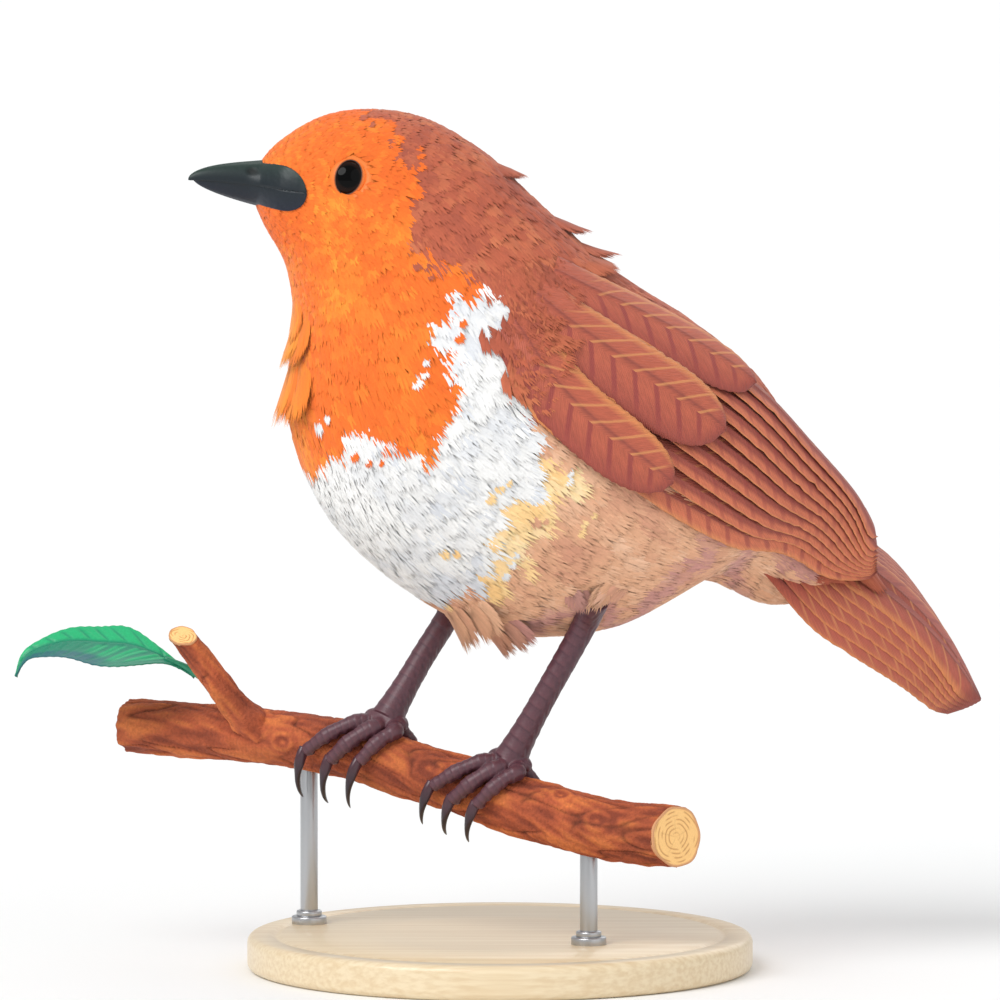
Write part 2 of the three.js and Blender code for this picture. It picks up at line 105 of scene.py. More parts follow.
def from_model(points: np.ndarray) -> np.ndarray:
    """Move points from the model's frame to the bird's.

    Args:
        points: Places, x, y, z.

    Returns:
        The same places in the bird's frame.
    """
    x, y, z = (points - BIRD_PLACE).T
    cosine, sine = math.cos(BIRD_YAW), math.sin(BIRD_YAW)
    return np.stack([x * cosine + y * sine, y * cosine - x * sine, z], axis=-1)


def turned(vectors: np.ndarray) -> np.ndarray:
    """Turn directions from the bird's frame to the model's.

    Args:
        vectors: Directions, x, y, z.

    Returns:
        The same directions in the model's frame.
    """
    x, y, z = np.moveaxis(vectors, -1, 0)
    cosine, sine = math.cos(BIRD_YAW), math.sin(BIRD_YAW)
    return np.stack([x * cosine - y * sine, x * sine + y * cosine, z], axis=-1)


def distances(points: np.ndarray) -> np.ndarray:
    """Give how far along a row of points each one lies."""
    return np.concatenate([[0], np.cumsum(np.linalg.norm(np.diff(points, axis=0), axis=1))])


def ripple(points: np.ndarray, size: float, seed: int) -> np.ndarray:
    """Give smooth random values from about -1 to 1, a sum of plane waves in scattered directions.

    Args:
        points: Places, millimetres.
        size: Typical width of a rise or hollow, millimetres.
        seed: Number that fixes the pattern.

    Returns:
        One value for each place.
    """
    chance = np.random.default_rng(seed)
    total = np.zeros(points.shape[:-1])
    for _ in range(7):
        direction = unit(chance.normal(size=3)) * TURN / (2 * size) * chance.uniform(0.7, 1.5)
        total += np.sin(points @ direction + chance.uniform(0, TURN))
    return total / 3.2


class Spline:
    """Centripetal Catmull-Rom curve through points, met at the parameters 0, 1, 2 and so on."""

    def __init__(self, points: np.ndarray) -> None:
        """Fit the curve.

        Args:
            points: One row for each point, of any number of values.
        """
        points = np.asarray(points, float)
        full = np.vstack([2 * points[0] - points[1], points, 2 * points[-1] - points[-2]])
        gaps = np.linalg.norm(np.diff(full, axis=0), axis=1)[:, None] ** 0.5
        before, here, after = gaps[:-2], gaps[1:-1], gaps[2:]
        p0, p1, p2, p3 = full[:-3], full[1:-2], full[2:-1], full[3:]
        out = ((p1 - p0) / before - (p2 - p0) / (before + here) + (p2 - p1) / here) * here
        into = ((p2 - p1) / here - (p3 - p1) / (here + after) + (p3 - p2) / after) * here
        self.last = len(points) - 1
        self.terms = (p1, out, 3 * (p2 - p1) - 2 * out - into, 2 * (p1 - p2) + out + into)

    def __call__(self, place: np.ndarray) -> np.ndarray:
        """Give the points at some parameters.

        Args:
            place: The parameters.

        Returns:
            One row for each.
        """
        place = np.clip(np.asarray(place, float), 0, self.last)
        index = np.minimum(place.astype(int), self.last - 1)
        rest = (place - index)[..., None]
        first, second, third, fourth = (term[index] for term in self.terms)
        return first + rest * (second + rest * (third + rest * fourth))


class Line(Spline):
    """A space curve that is also read by distance along it."""

    def __init__(self, points: np.ndarray, samples: int = 400) -> None:
        """Fit the curve and measure it.

        Args:
            points: One row of x, y, z for each point.
            samples: Number of steps that the length is measured in.
        """
        super().__init__(points)
        self.places = np.linspace(0, self.last, samples + 1)
        self.lengths = distances(self(self.places))
        self.length = float(self.lengths[-1])

    def at(self, distance: np.ndarray) -> np.ndarray:
        """Give the points at some distances from the start."""
        return self(np.interp(distance, self.lengths, self.places))

    def frames(self, distance: np.ndarray, toward: np.ndarray = UP) -> tuple[np.ndarray, np.ndarray, np.ndarray]:
        """Give the directions along the curve, up from it and sideways.

        Args:
            distance: Distances from the start.
            toward: The direction that up leans to.

        Returns:
            Unit vectors along, up and along cross up.
        """
        reach = self.length * 0.002
        along = unit(self.at(np.minimum(distance + reach, self.length)) - self.at(np.maximum(distance - reach, 0)))
        up = unit(toward - along * (along * toward).sum(-1, keepdims=True))
        return along, up, np.cross(along, up)


@dataclass
class Shell:
    """A mesh in the making: points in the model's frame, millimetres, and what each point carries."""

    points: np.ndarray
    faces: np.ndarray
    tones: np.ndarray | None = None
    maps: dict[str, np.ndarray] = field(default_factory=dict)
    normals: np.ndarray | None = None

    @staticmethod
    def joined(shells: list["Shell"]) -> "Shell":
        """Join shells that carry the same things into one.

        Args:
            shells: What is joined.

        Returns:
            The one shell.
        """
        starts = np.cumsum([0] + [len(shell.points) for shell in shells[:-1]])
        first = shells[0]
        return Shell(
            np.concatenate([shell.points for shell in shells]),
            np.concatenate([shell.faces + start for shell, start in zip(shells, starts)]),
            None if first.tones is None else np.concatenate([shell.tones for shell in shells]),
            {name: np.concatenate([shell.maps[name] for shell in shells]) for name in first.maps},
            None if first.normals is None else np.concatenate([shell.normals for shell in shells]),
        )

    @staticmethod
    def closed(rings: np.ndarray, tones: np.ndarray | None = None) -> "Shell":
        """Close a stack of rings into a shell whose faces point outward."""
        points, faces = tube(rings)
        return Shell(points, outward(points, faces), tones)

    def piece(self, name: str, finish: "Finish") -> bpy.types.Object:
        """Make the mesh object.

        Args:
            name: Name of the piece.
            finish: What it is dressed with.

        Returns:
            The object, at the origin.
        """
        mesh = bpy.data.meshes.new(name)
        count, sides = self.faces.shape
        mesh.vertices.add(len(self.points))
        mesh.vertices.foreach_set("co", (self.points * MM).astype(np.float32).ravel())
        mesh.loops.add(count * sides)
        mesh.loops.foreach_set("vertex_index", self.faces.astype(np.int32).ravel())
        mesh.polygons.add(count)
        mesh.polygons.foreach_set("loop_start", np.arange(0, count * sides, sides, dtype=np.int32))
        mesh.update(calc_edges=True)
        mesh.polygons.foreach_set("use_smooth", np.ones(count, bool))
        corners = self.faces.ravel()
        for key, values in self.maps.items():
            layer = mesh.uv_layers.new(name=key)
            values = values if len(values) == len(corners) else values[corners]
            layer.uv.foreach_set("vector", values.astype(np.float32).ravel())
        if self.tones is not None:
            carry_tones(mesh, self.tones)
        if self.normals is not None:
            normals = mesh.attributes.new("custom_normal", "FLOAT_VECTOR", "POINT")
            normals.data.foreach_set("vector", self.normals.astype(np.float32).ravel())
        made = bpy.data.objects.new(name, mesh)
        bpy.context.scene.collection.objects.link(made)
        mesh.materials.append(finish.material())
        return made


def carry_tones(mesh: bpy.types.Mesh, tones: np.ndarray) -> None:
    """Store the linear colour of each point; a fourth column, where there is one, becomes its alpha.

    Args:
        mesh: The mesh.
        tones: One row for each point.
    """
    if tones.shape[1] == 3:
        tones = np.column_stack([tones, np.ones(len(tones))])
    mesh.attributes.new(TONE, "FLOAT_COLOR", "POINT").data.foreach_set("color", tones.ravel())


def lattice(rows: int, columns: int, closed: bool) -> np.ndarray:
    """Give the four-sided faces of a grid of points.

    Args:
        rows: Number of rows of points.
        columns: Number of points in a row.
        closed: Whether each row is a ring.

    Returns:
        Four point numbers for each face.
    """
    row, column = np.meshgrid(np.arange(rows - 1), np.arange(columns - (not closed)), indexing="ij")
    here, beside = row * columns + column, row * columns + (column + 1) % columns
    return np.stack([here, beside, beside + columns, here + columns], axis=-1).reshape(-1, 4)


def tube(rings: np.ndarray) -> tuple[np.ndarray, np.ndarray]:
    """Close a stack of rings into a solid, with a point in the middle of each end.

    Args:
        rings: Points by ring and place round it.

    Returns:
        The points and the four-sided faces; those at the ends repeat a corner's point twice over a fan.
    """
    count, around = rings.shape[:2]
    points = np.concatenate([rings.reshape(-1, 3), rings[[0, -1]].mean(axis=1)])
    faces = lattice(count, around, True)
    ring = np.arange(0, around, 2)
    caps = []
    for first, middle, back in ((0, count * around, True), ((count - 1) * around, count * around + 1, False)):
        a, b, c = first + ring, first + (ring + 1) % around, first + (ring + 2) % around
        fan = np.stack([np.full_like(a, middle), a, b, c], axis=-1)
        caps.append(fan[:, ::-1] if back else fan)
    return points, np.concatenate([faces, *caps])


def outward(points: np.ndarray, faces: np.ndarray) -> np.ndarray:
    """Turn the faces of a closed shape so that they point out of it.

    Args:
        points: The shape's points.
        faces: Point numbers of each face.

    Returns:
        The faces, all turned over where they pointed in.
    """
    a, b, c = (points[faces[:, corner]] for corner in range(3))
    volume = np.einsum("ij,ij->i", np.cross(a, b), c).sum()
    if faces.shape[1] == 4:
        volume += np.einsum("ij,ij->i", np.cross(a, c), points[faces[:, 3]]).sum()
    return faces[:, ::-1] if volume < 0 else faces


def select_only(*pieces: bpy.types.Object) -> None:
    """Make pieces the whole selection, the first of them active.

    Args:
        *pieces: The pieces.
    """
    bpy.ops.object.select_all(action="DESELECT")
    for piece in pieces:
        piece.select_set(True)
    bpy.context.view_layer.objects.active = pieces[0]


def fused(name: str, shells: list[Shell], finish: "Finish", voxel: float, smoothing: int) -> bpy.types.Object:
    """Fuse closed shells into one closed surface.

    Args:
        name: Name of the piece.
        shells: What is fused, in the model's frame.
        finish: What it is dressed with.
        voxel: Size of the new mesh's faces, millimetres.
        smoothing: How often the joins are smoothed.

    Returns:
        The object.
    """
    made = Shell.joined(shells).piece(name, finish)
    select_only(made)
    remesh = made.modifiers.new("fuse", "REMESH")
    remesh.mode, remesh.voxel_size, remesh.use_smooth_shade = "VOXEL", voxel * MM, True
    bpy.ops.object.modifier_apply(modifier=remesh.name)
    smooth = made.modifiers.new("soft", "SMOOTH")
    smooth.factor, smooth.iterations = 0.5, smoothing
    bpy.ops.object.modifier_apply(modifier=smooth.name)
    return made


def read_points(piece: bpy.types.Object, kind: str = "co") -> np.ndarray:
    """Read a piece's points, millimetres; with another kind, that value of each point.

    Args:
        piece: The mesh object.
        kind: Name of the value, a place unless another is asked for.

    Returns:
        One row for each point.
    """
    values = np.empty(len(piece.data.vertices) * 3, np.float32)
    piece.data.vertices.foreach_get(kind, values)
    return values.reshape(-1, 3).astype(float) / (MM if kind == "co" else 1)


def reshape(piece: bpy.types.Object, points: np.ndarray, tones: np.ndarray) -> None:
    """Put a piece's points elsewhere and colour them.

    Args:
        piece: The mesh object.
        points: New places, millimetres.
        tones: Linear colour of each point.
    """
    piece.data.vertices.foreach_set("co", (points * MM).astype(np.float32).ravel())
    carry_tones(piece.data, np.clip(tones, 0, 1))
    piece.data.update()


def place(piece: bpy.types.Object, slot: str, *nodes: str) -> bpy.types.Object:
    """Let a finished piece ride on the model and stand for the nodes that it replaces.

    Args:
        piece: The mesh object.
        slot: Name of the finish in the part's record; not used.
        *nodes: Names of the nodes that it stands for.

    Returns:
        The same object.
    """
    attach(piece, "root")
    if nodes:
        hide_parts(*nodes)
    LOG.info("%s: %d faces", piece.name, len(piece.data.polygons))
    return piece


# ---- Finishes -----------------------------------------------------------------------------------------------


def add_node(tree: bpy.types.NodeTree, kind: str, settings: dict | None = None,
             links: dict | None = None) -> bpy.types.Node:
    """Add a node to a tree.

    Args:
        tree: The node tree.
        kind: Type name of the node.
        settings: Values by name or number of an input, or by name of a property.
        links: Output sockets by name or number of the input that they go to.

    Returns:
        The node.
    """
    node = tree.nodes.new(kind)
    for key, value in (settings or {}).items():
        if isinstance(key, int) or key in node.inputs:
            node.inputs[key].default_value = value
        else:
            setattr(node, key, value)
    for key, source in (links or {}).items():
        tree.links.new(source, node.inputs[key])
    return node


@dataclass(frozen=True)
class Finish:
    """What a surface is made of, and how it looks: a base for the finishes below."""

    title: str
    roughness: float = 0.7
    ior: float = 1.5
    metallic: float = 0.0
    sheen: float = 0.0
    coat: float = 0.0

    def material(self) -> bpy.types.Material:
        """Give the material, made at its first use.

        Returns:
            The material.
        """
        found = bpy.data.materials.get(self.title)
        if found:
            return found
        made = bpy.data.materials.new(self.title)
        made.use_nodes = True
        tree = made.node_tree
        shader = tree.nodes["Principled BSDF"]
        settings = {"Roughness": self.roughness, "Metallic": self.metallic, "Sheen Weight": self.sheen,
                    "Sheen Roughness": 0.5, "Coat Weight": self.coat, "Coat Roughness": 0.08}
        if not self.metallic:
            settings["IOR"] = self.ior
        for key, value in settings.items():
            shader.inputs[key].default_value = value
        self.dress(tree, shader)
        return made

    def dress(self, tree: bpy.types.NodeTree, shader: bpy.types.Node) -> None:
        """Link colour and relief to the shader; each finish has its own."""

    @staticmethod
    def noise(tree: bpy.types.NodeTree, size: float) -> bpy.types.NodeSocket:
        """Add a noise with blots of a width in millimetres, and give its value socket.

        Args:
            tree: The node tree.
            size: Width of a blot, millimetres.

        Returns:
            The value socket.
        """
        place = add_node(tree, "ShaderNodeTexCoord").outputs["Object"]
        settings = {"Scale": 1 / (size * MM), "Detail": 3.0}
        return add_node(tree, "ShaderNodeTexNoise", settings, {"Vector": place}).outputs["Fac"]

    @staticmethod
    def grain(tree: bpy.types.NodeTree, scale: tuple[float, float, float], detail: float) -> bpy.types.NodeSocket:
        """Add a noise stretched along one axis, at a scale in blots to the metre, and give its value socket.

        Args:
            tree: The node tree.
            scale: Blots to the metre along x, y and z.
            detail: Octaves of finer noise.

        Returns:
            The value socket.
        """
        here = add_node(tree, "ShaderNodeTexCoord").outputs["Object"]
        stretch = add_node(tree, "ShaderNodeMapping", {"Scale": scale}, {"Vector": here}).outputs[0]
        settings = {"Scale": 1.0, "Detail": detail}
        return add_node(tree, "ShaderNodeTexNoise", settings, {"Vector": stretch}).outputs["Fac"]

    @staticmethod
    def varied(tree: bpy.types.NodeTree, colour: bpy.types.NodeSocket, share: bpy.types.NodeSocket,
               low: float, high: float) -> bpy.types.NodeSocket:
        """Darken and lighten a colour by a share.

        Args:
            tree: The node tree.
            colour: The colour socket.
            share: Socket with values about 0.5.
            low: Brightness where the share is 0.25.
            high: Brightness where the share is 0.75.

        Returns:
            The changed colour's socket.
        """
        range_settings = {"From Min": 0.25, "From Max": 0.75, "To Min": low, "To Max": high}
        value = add_node(tree, "ShaderNodeMapRange", range_settings, {"Value": share}).outputs[0]
        return add_node(tree, "ShaderNodeHueSaturation", {}, {"Value": value, "Color": colour}).outputs[0]

    @staticmethod
    def relief(tree: bpy.types.NodeTree, shader: bpy.types.Node, height: bpy.types.NodeSocket,
               depth: float, strength: float = 1.0) -> None:
        """Bump the surface.

        Args:
            tree: The node tree.
            shader: The surface's shader.
            height: Socket with the height, 0 to 1.
            depth: What a height of 1 stands for, millimetres.
            strength: Share of the full effect.
        """
        bump = add_node(tree, "ShaderNodeBump", {"Distance": depth * MM, "Strength": strength}, {"Height": height})
        tree.links.new(bump.outputs[0], shader.inputs["Normal"])


@dataclass(frozen=True)
class Toned(Finish):
    """A finish whose colour is carried by the mesh, with fine mottling over it."""

    mottle: float = 0.5
    spread: float = 0.06
    bump: float = 0.0

    def dress(self, tree: bpy.types.NodeTree, shader: bpy.types.Node) -> None:
        """Link the mesh's own colour, mottled, and a fine relief where there is one.

        Args:
            tree: The node tree.
            shader: The surface's shader.
        """
        tone = add_node(tree, "ShaderNodeAttribute", {"attribute_name": TONE}).outputs["Color"]
        share = self.noise(tree, self.mottle)
        tree.links.new(self.varied(tree, tone, share, 1 - self.spread, 1 + self.spread), shader.inputs["Base Color"])
        if self.bump:
            self.relief(tree, shader, share, self.bump)


@dataclass(frozen=True)
class Vane(Finish):
    """Flight-feather keratin: stiff barbs slant from the shaft to the edge, which gives a fine herringbone."""

    barb: float = 0.40
    slant: float = 1.25
    bar: float = 3.7
    # Each web's bars: side of the shaft, slant, where they fade from and to, colour, strength. The second web's pale
    # bars are painted highlight streaks.
    webs: tuple[tuple[float, float, float, float, str, float], ...] = (
        (1.0, 0.75, 0.30, 0.58, "963c36", 0.9), (-1.0, 1.2, 0.10, 0.42, "e09a5c", 0.6),
    )
    barb_depth: float = 0.05

    def dress(self, tree: bpy.types.NodeTree, shader: bpy.types.Node) -> None:
        """Draw barbs and bolder bars, from the feather's own map of millimetres across (x) and along (y).

        Args:
            tree: The node tree.
            shader: The surface's shader.
        """
        carried = add_node(tree, "ShaderNodeAttribute", {"attribute_name": TONE}).outputs
        here = add_node(tree, "ShaderNodeUVMap", {"uv_map": PATTERN_MAP}).outputs[0]
        x, y, _ = add_node(tree, "ShaderNodeSeparateXYZ", {}, {0: here}).outputs
        aside = self.maths(tree, "ABSOLUTE", x)
        lines = self.maths(tree, "MULTIPLY", self.slanted(tree, y, aside, -self.slant), 1 / self.barb)
        stretched = add_node(tree, "ShaderNodeCombineXYZ", {}, {"X": lines, "Y": x}).outputs[0]
        settings = {"Scale": 0.9, "Detail": 2.0}
        blots = add_node(tree, "ShaderNodeTexNoise", settings, {"Vector": stretched}).outputs["Fac"]
        colour = self.varied(tree, carried["Color"], blots, 0.84, 1.16)
        # The pale bars on the second web are painted highlight streaks along the barbs.
        for sign, slant, narrow, wide, shade, share in self.webs:
            phase = self.slanted(tree, y, aside, -slant)
            wander = self.maths(tree, "MULTIPLY", blots, 0.5)
            away = self.maths(tree, "PINGPONG", self.maths(tree, "ADD", phase, wander), self.bar / 2)
            limits = {"From Min": narrow, "From Max": wide, "To Min": share, "To Max": 0.0}
            line = add_node(tree, "ShaderNodeMapRange", limits, {"Value": away}).outputs[0]
            half = self.maths(tree, "GREATER_THAN", self.maths(tree, "MULTIPLY", x, sign), 0.0)
            amount = self.maths(tree, "MULTIPLY", self.maths(tree, "MULTIPLY", line, half), carried["Alpha"])
            mix = add_node(tree, "ShaderNodeMix", {"data_type": "RGBA"}, {0: amount, 6: colour})
            mix.inputs[7].default_value = rgba(shade)
            colour = mix.outputs[2]
        tree.links.new(colour, shader.inputs["Base Color"])
        wave = self.maths(tree, "SINE", self.maths(tree, "MULTIPLY", lines, TURN))
        height = add_node(tree, "ShaderNodeMapRange", {"From Min": -1.0}, {"Value": wave}).outputs[0]
        self.relief(tree, shader, height, self.barb_depth, 0.8)

    @staticmethod
    def maths(tree: bpy.types.NodeTree, kind: str, one: bpy.types.NodeSocket,
              two: bpy.types.NodeSocket | float | None = None) -> bpy.types.NodeSocket:
        """Add a sum, product or function of one or two values and give its result.

        Args:
            tree: The node tree.
            kind: Name of the operation.
            one: First value's socket.
            two: Second value or its socket, where there is one.

        Returns:
            The result's socket.
        """
        node = add_node(tree, "ShaderNodeMath", {"operation": kind}, {0: one})
        if isinstance(two, float):
            node.inputs[1].default_value = two
        elif two is not None:
            tree.links.new(two, node.inputs[1])
        return node.outputs[0]

    def slanted(self, tree: bpy.types.NodeTree, along: bpy.types.NodeSocket, aside: bpy.types.NodeSocket,
                slant: float) -> bpy.types.NodeSocket:
        """Give the place along the feather where the barb through here leaves the shaft."""
        return self.maths(tree, "ADD", along, self.maths(tree, "MULTIPLY", aside, slant))


# Contour plumage: downy barbs scatter the light, with no gloss.
PLUMAGE = Toned("contour plumage, loose barbs", roughness=0.82, sheen=0.12, mottle=0.35, spread=0.05)
# Bird skin under the coat: thin, dry and matt.
SKIN = Toned("bird skin, dry", roughness=0.8, mottle=0.6, spread=0.08)
# Flight feathers: barbs hooked into a firm sheet with a slight silky gloss.
QUILLS = Vane("flight feather keratin, hooked barbs", roughness=0.58, sheen=0.08)
# Bill: horn sheath, smooth and faintly waxy.
HORN = Toned("bill horn, smooth", roughness=0.42, ior=1.45, spread=0.12, bump=0.02)
# Eye: near-black wet ball.
EYE = Toned("cornea over dark iris, wet", roughness=0.05, ior=1.2, spread=0.02)
# Lid skin: soft, bare and wrinkled.
LID = Toned("bare lid skin", roughness=0.5, mottle=0.18, spread=0.15, bump=0.05)
# Leg scales: thin horn plates with a satin gloss.
SCALES = Toned("leg scutes, satin horn", roughness=0.42, ior=1.52, mottle=0.3, spread=0.12, bump=0.03)
# Claws: hard polished horn.
CLAW_HORN = Toned("claw horn, polished", roughness=0.28, ior=1.54, mottle=0.4, spread=0.1)
# Bark: dry, fissured and matt.
BARK = Toned("bark, dry", roughness=0.9, mottle=0.45, spread=0.2, bump=0.25)
# Cut wood: sawn end grain, sanded and bare.
END_GRAIN = Toned("end grain, sanded", roughness=0.75, mottle=0.16, spread=0.08, bump=0.04)
# Leaf: waxy upper side.
LEAF = Toned("leaf, waxy", roughness=0.4, ior=1.45, mottle=0.35, spread=0.08, bump=0.04)


# ---- The bird's form and markings ---------------------------------------------------------------------------


class Marking(Enum):
    """The plumage's colours."""

    ORANGE = 0
    WHITE = 1
    BUFF = 2
    TAN = 3
    BROWN = 4


# Each colour's middle, light and dark shade. The light orange also serves as the painted highlight at the front of
# the throat, and the dark white as the cool grey painted shade low on the belly.
SHADES = {
    Marking.ORANGE: ("f4701e", "fd9a2e", "e8651a"),
    Marking.WHITE: ("efeeec", "fbfaf8", "d9dce2"),
    Marking.BUFF: ("ffd699", "ffe2b4", "fac985"),
    Marking.TAN: ("e4ad88", "eebf9e", "d3977a"),
    Marking.BROWN: ("bb5e41", "cd744d", "a3503c"),
}

# Corners of each colour's patch on the bird's side, as x and z. Each patch lies over the ones below it in this
# list, and brown is all the rest.
ORANGE_BORDER = [
    (-24.8, 130), (-24.8, 122.6), (-20.6, 120.6), (-16.9, 119.3), (-19.6, 116.3), (-14.4, 111.3), (-16.4, 108.5),
    (-16.8, 105.1), (-15.7, 102.4), (-11.6, 100.2), (-8.4, 98.4), (-5.4, 97.1), (-5.4, 96.4), (-8.4, 96.8),
    (-10.4, 96.4), (-9.9, 93.8), (-12.3, 91.6), (-12.3, 88.8), (-11.0, 86.2), (-8.6, 81.0), (-9.2, 76.6),
    (-11.6, 76.6), (-11.2, 74.2), (-12.8, 72.2), (-13.6, 70.4), (-15.6, 71.6), (-18.4, 72.8), (-20.6, 75.8),
    (-25.3, 76.8), (-27.4, 73.8), (-28.2, 71.0), (-29.8, 69.2), (-31.9, 67.8), (-60, 67.4), (-60, 130),
]
WHITE_BORDER = [
    (-60, 98.6), (-9.4, 98.4), (-4.6, 97.4), (-0.2, 94.2), (1.0, 91.6), (-0.2, 89.4), (-3.2, 87.6), (-0.6, 85.4),
    (0.4, 83.0), (2.8, 79.6), (3.0, 77.0), (4.0, 73.6), (6.0, 70.6), (5.6, 67.0), (3.6, 64.8), (0.2, 64.9),
    (-1.2, 63.4), (-1.2, 61.6), (-3.0, 60.6), (-1.6, 58.0), (-3.0, 56.0), (-4.0, 53.4), (-8.4, 52.4),
    (-12.6, 51.0), (-13.6, 48.6), (-60, 48.6),
]
BUFF_BORDER = [
    (-60, 79.5), (1.2, 77.4), (7.0, 72.0), (8.9, 69.4), (9.8, 66.3), (6.6, 65.8), (7.0, 63.1), (5.6, 61.0),
    (2.0, 60.7), (3.5, 56.7), (0.9, 55.3), (-0.5, 53.1), (-3.0, 52.4), (-5.0, 54.4), (-8.4, 57.0), (-60, 58.0),
]
TAN_BORDER = [
    (-60, 79.5), (3.0, 77.7), (20.3, 68.5), (42.0, 60.0), (43.0, 56.9), (41.4, 55.8), (42.8, 54.0), (40.6, 53.2),
    (41.0, 51.0), (41.0, 0), (-60, 0),
]
# Painted shade: mauve bands where shadow falls between the feather tracts of belly and vent and under the wing's
# lower edge: half width, then corners as x and z.
SHADE_BANDS = [
    (0.75, [(23.8, 63.2), (22.3, 58.4), (18.4, 57.0), (17.2, 54.4), (14.6, 52.8), (12.8, 50.0), (11.0, 47.4)]),
    (1.0, [(24.3, 63.9), (30.5, 61.6), (36.5, 59.6), (42.4, 57.6)]),
    (0.6, [(30.2, 60.4), (26.9, 55.3)]),
    (0.8, [(-4.0, 49.6), (1.0, 51.2), (5.4, 52.3), (7.7, 53.7), (8.6, 51.4), (7.8, 48.0)]),
]
SHADOW_MAUVE = "c48a86"
# How far the plane that the markings are laid out on leans back.
SIDE_LEAN = math.radians(6)


def inside(points: np.ndarray, border: list[tuple[float, float]]) -> np.ndarray:
    """Tell which points of the plane are inside a closed border.

    Args:
        points: x and z of each.
        border: Its corners in order.

    Returns:
        True for those inside.
    """
    x, z = points.T
    hit = np.zeros(len(points), bool)
    for (x0, z0), (x1, z1) in zip(border, border[1:] + border[:1]):
        if z0 != z1:
            crosses = (z0 > z) != (z1 > z)
            hit ^= crosses & (x < x0 + (z - z0) * (x1 - x0) / (z1 - z0))
    return hit


def away_from(points: np.ndarray, corners: list[tuple[float, float]]) -> np.ndarray:
    """Give how far points of the plane are from a line with corners.

    Args:
        points: x and z of each point.
        corners: The line's corners in order.

    Returns:
        Millimetres, one value for each point.
    """
    nearest = np.full(len(points), np.inf)
    for start, end in zip(np.array(corners[:-1]), np.array(corners[1:])):
        share = np.clip((points - start) @ (end - start) / ((end - start) @ (end - start)), 0, 1)[:, None]
        nearest = np.minimum(nearest, np.linalg.norm(points - start - share * (end - start), axis=-1))
    return nearest


def side_view(points: np.ndarray) -> np.ndarray:
    """Give x and z of places on the bird's side, or of their mirror images, on the plane of its markings.

    Args:
        points: x, y, z in the bird's frame.

    Returns:
        x and z of each place.
    """
    x, y, z = points[:, 0], np.abs(points[:, 1]), points[:, 2]
    near = BIRD_PLACE[1] + x * math.sin(BIRD_YAW) - y * math.cos(BIRD_YAW)
    return np.column_stack([x + math.tan(BIRD_YAW) * y, z * math.cos(SIDE_LEAN) + near * math.sin(SIDE_LEAN)])


def marking(points: np.ndarray, ragged: float = 0.8) -> np.ndarray:
    """Give the number of the colour at places on the bird.

    Args:
        points: x, y, z in the bird's frame.
        ragged: How far the borders wander, millimetres.

    Returns:
        A number of Marking for each place.
    """
    flat = side_view(points) + ragged * np.stack([ripple(points, 3.0, 5), ripple(points, 3.0, 6)], axis=-1)
    found = np.full(len(points), Marking.BROWN.value)
    for border, colour in ((TAN_BORDER, Marking.TAN), (BUFF_BORDER, Marking.BUFF),
                           (WHITE_BORDER, Marking.WHITE), (ORANGE_BORDER, Marking.ORANGE)):
        found[inside(flat, border)] = colour.value
    return found


def plumage_tone(points: np.ndarray, colours: np.ndarray, chance: np.random.Generator) -> np.ndarray:
    """Give the colour of feathers or skin: a shade for each marking, with slow and quick changes, a painted highlight
    at the front of the throat, painted shade low on the white and painted shade in mauve bands on the tan.

    Args:
        points: Places in the bird's frame.
        colours: Number of the marking at each.
        chance: Source of the quick changes.

    Returns:
        Linear red, green and blue for each place.
    """
    table = np.array([[linear(code) for code in SHADES[colour]] for colour in Marking])
    base, light, dark = (table[colours, shade] for shade in range(3))
    slow = ripple(points, 7.0, 11) * 0.45 + chance.normal(0, 0.3, len(points))
    # Painted highlight: the orange is lighter toward the front of the throat, where the light falls.
    front = ease(-24, -40, points[:, 0]) * ease(112, 100, points[:, 2])
    slow = np.where(colours == Marking.ORANGE.value, slow * 0.7 + 0.55 * front, slow)
    # Painted shade: the white turns cool grey low on the belly, whose underside lies in shadow.
    low = (colours == Marking.WHITE.value) * ease(62, 52, points[:, 2])
    slow = slow - 1.1 * low
    up, down = np.clip(slow, 0, 1)[:, None], np.clip(-slow, 0, 1)[:, None]
    tone = base + (light - base) * up + (dark - base) * down
    # Painted shade: mauve bands on the tan where shadow falls between feather tracts and under the wing.
    seen = side_view(points) + 0.3 * np.stack([ripple(points, 2.6, 7), ripple(points, 2.6, 8)], axis=-1)
    painted_shade = np.zeros(len(points))
    for half, corners in SHADE_BANDS:
        painted_shade = np.maximum(painted_shade, ease(half + 1.1, half - 0.3, away_from(seen, corners)))
    painted_shade = painted_shade * (colours == Marking.TAN.value)
    return blend(tone, linear(SHADOW_MAUVE), 0.8 * painted_shade[:, None])


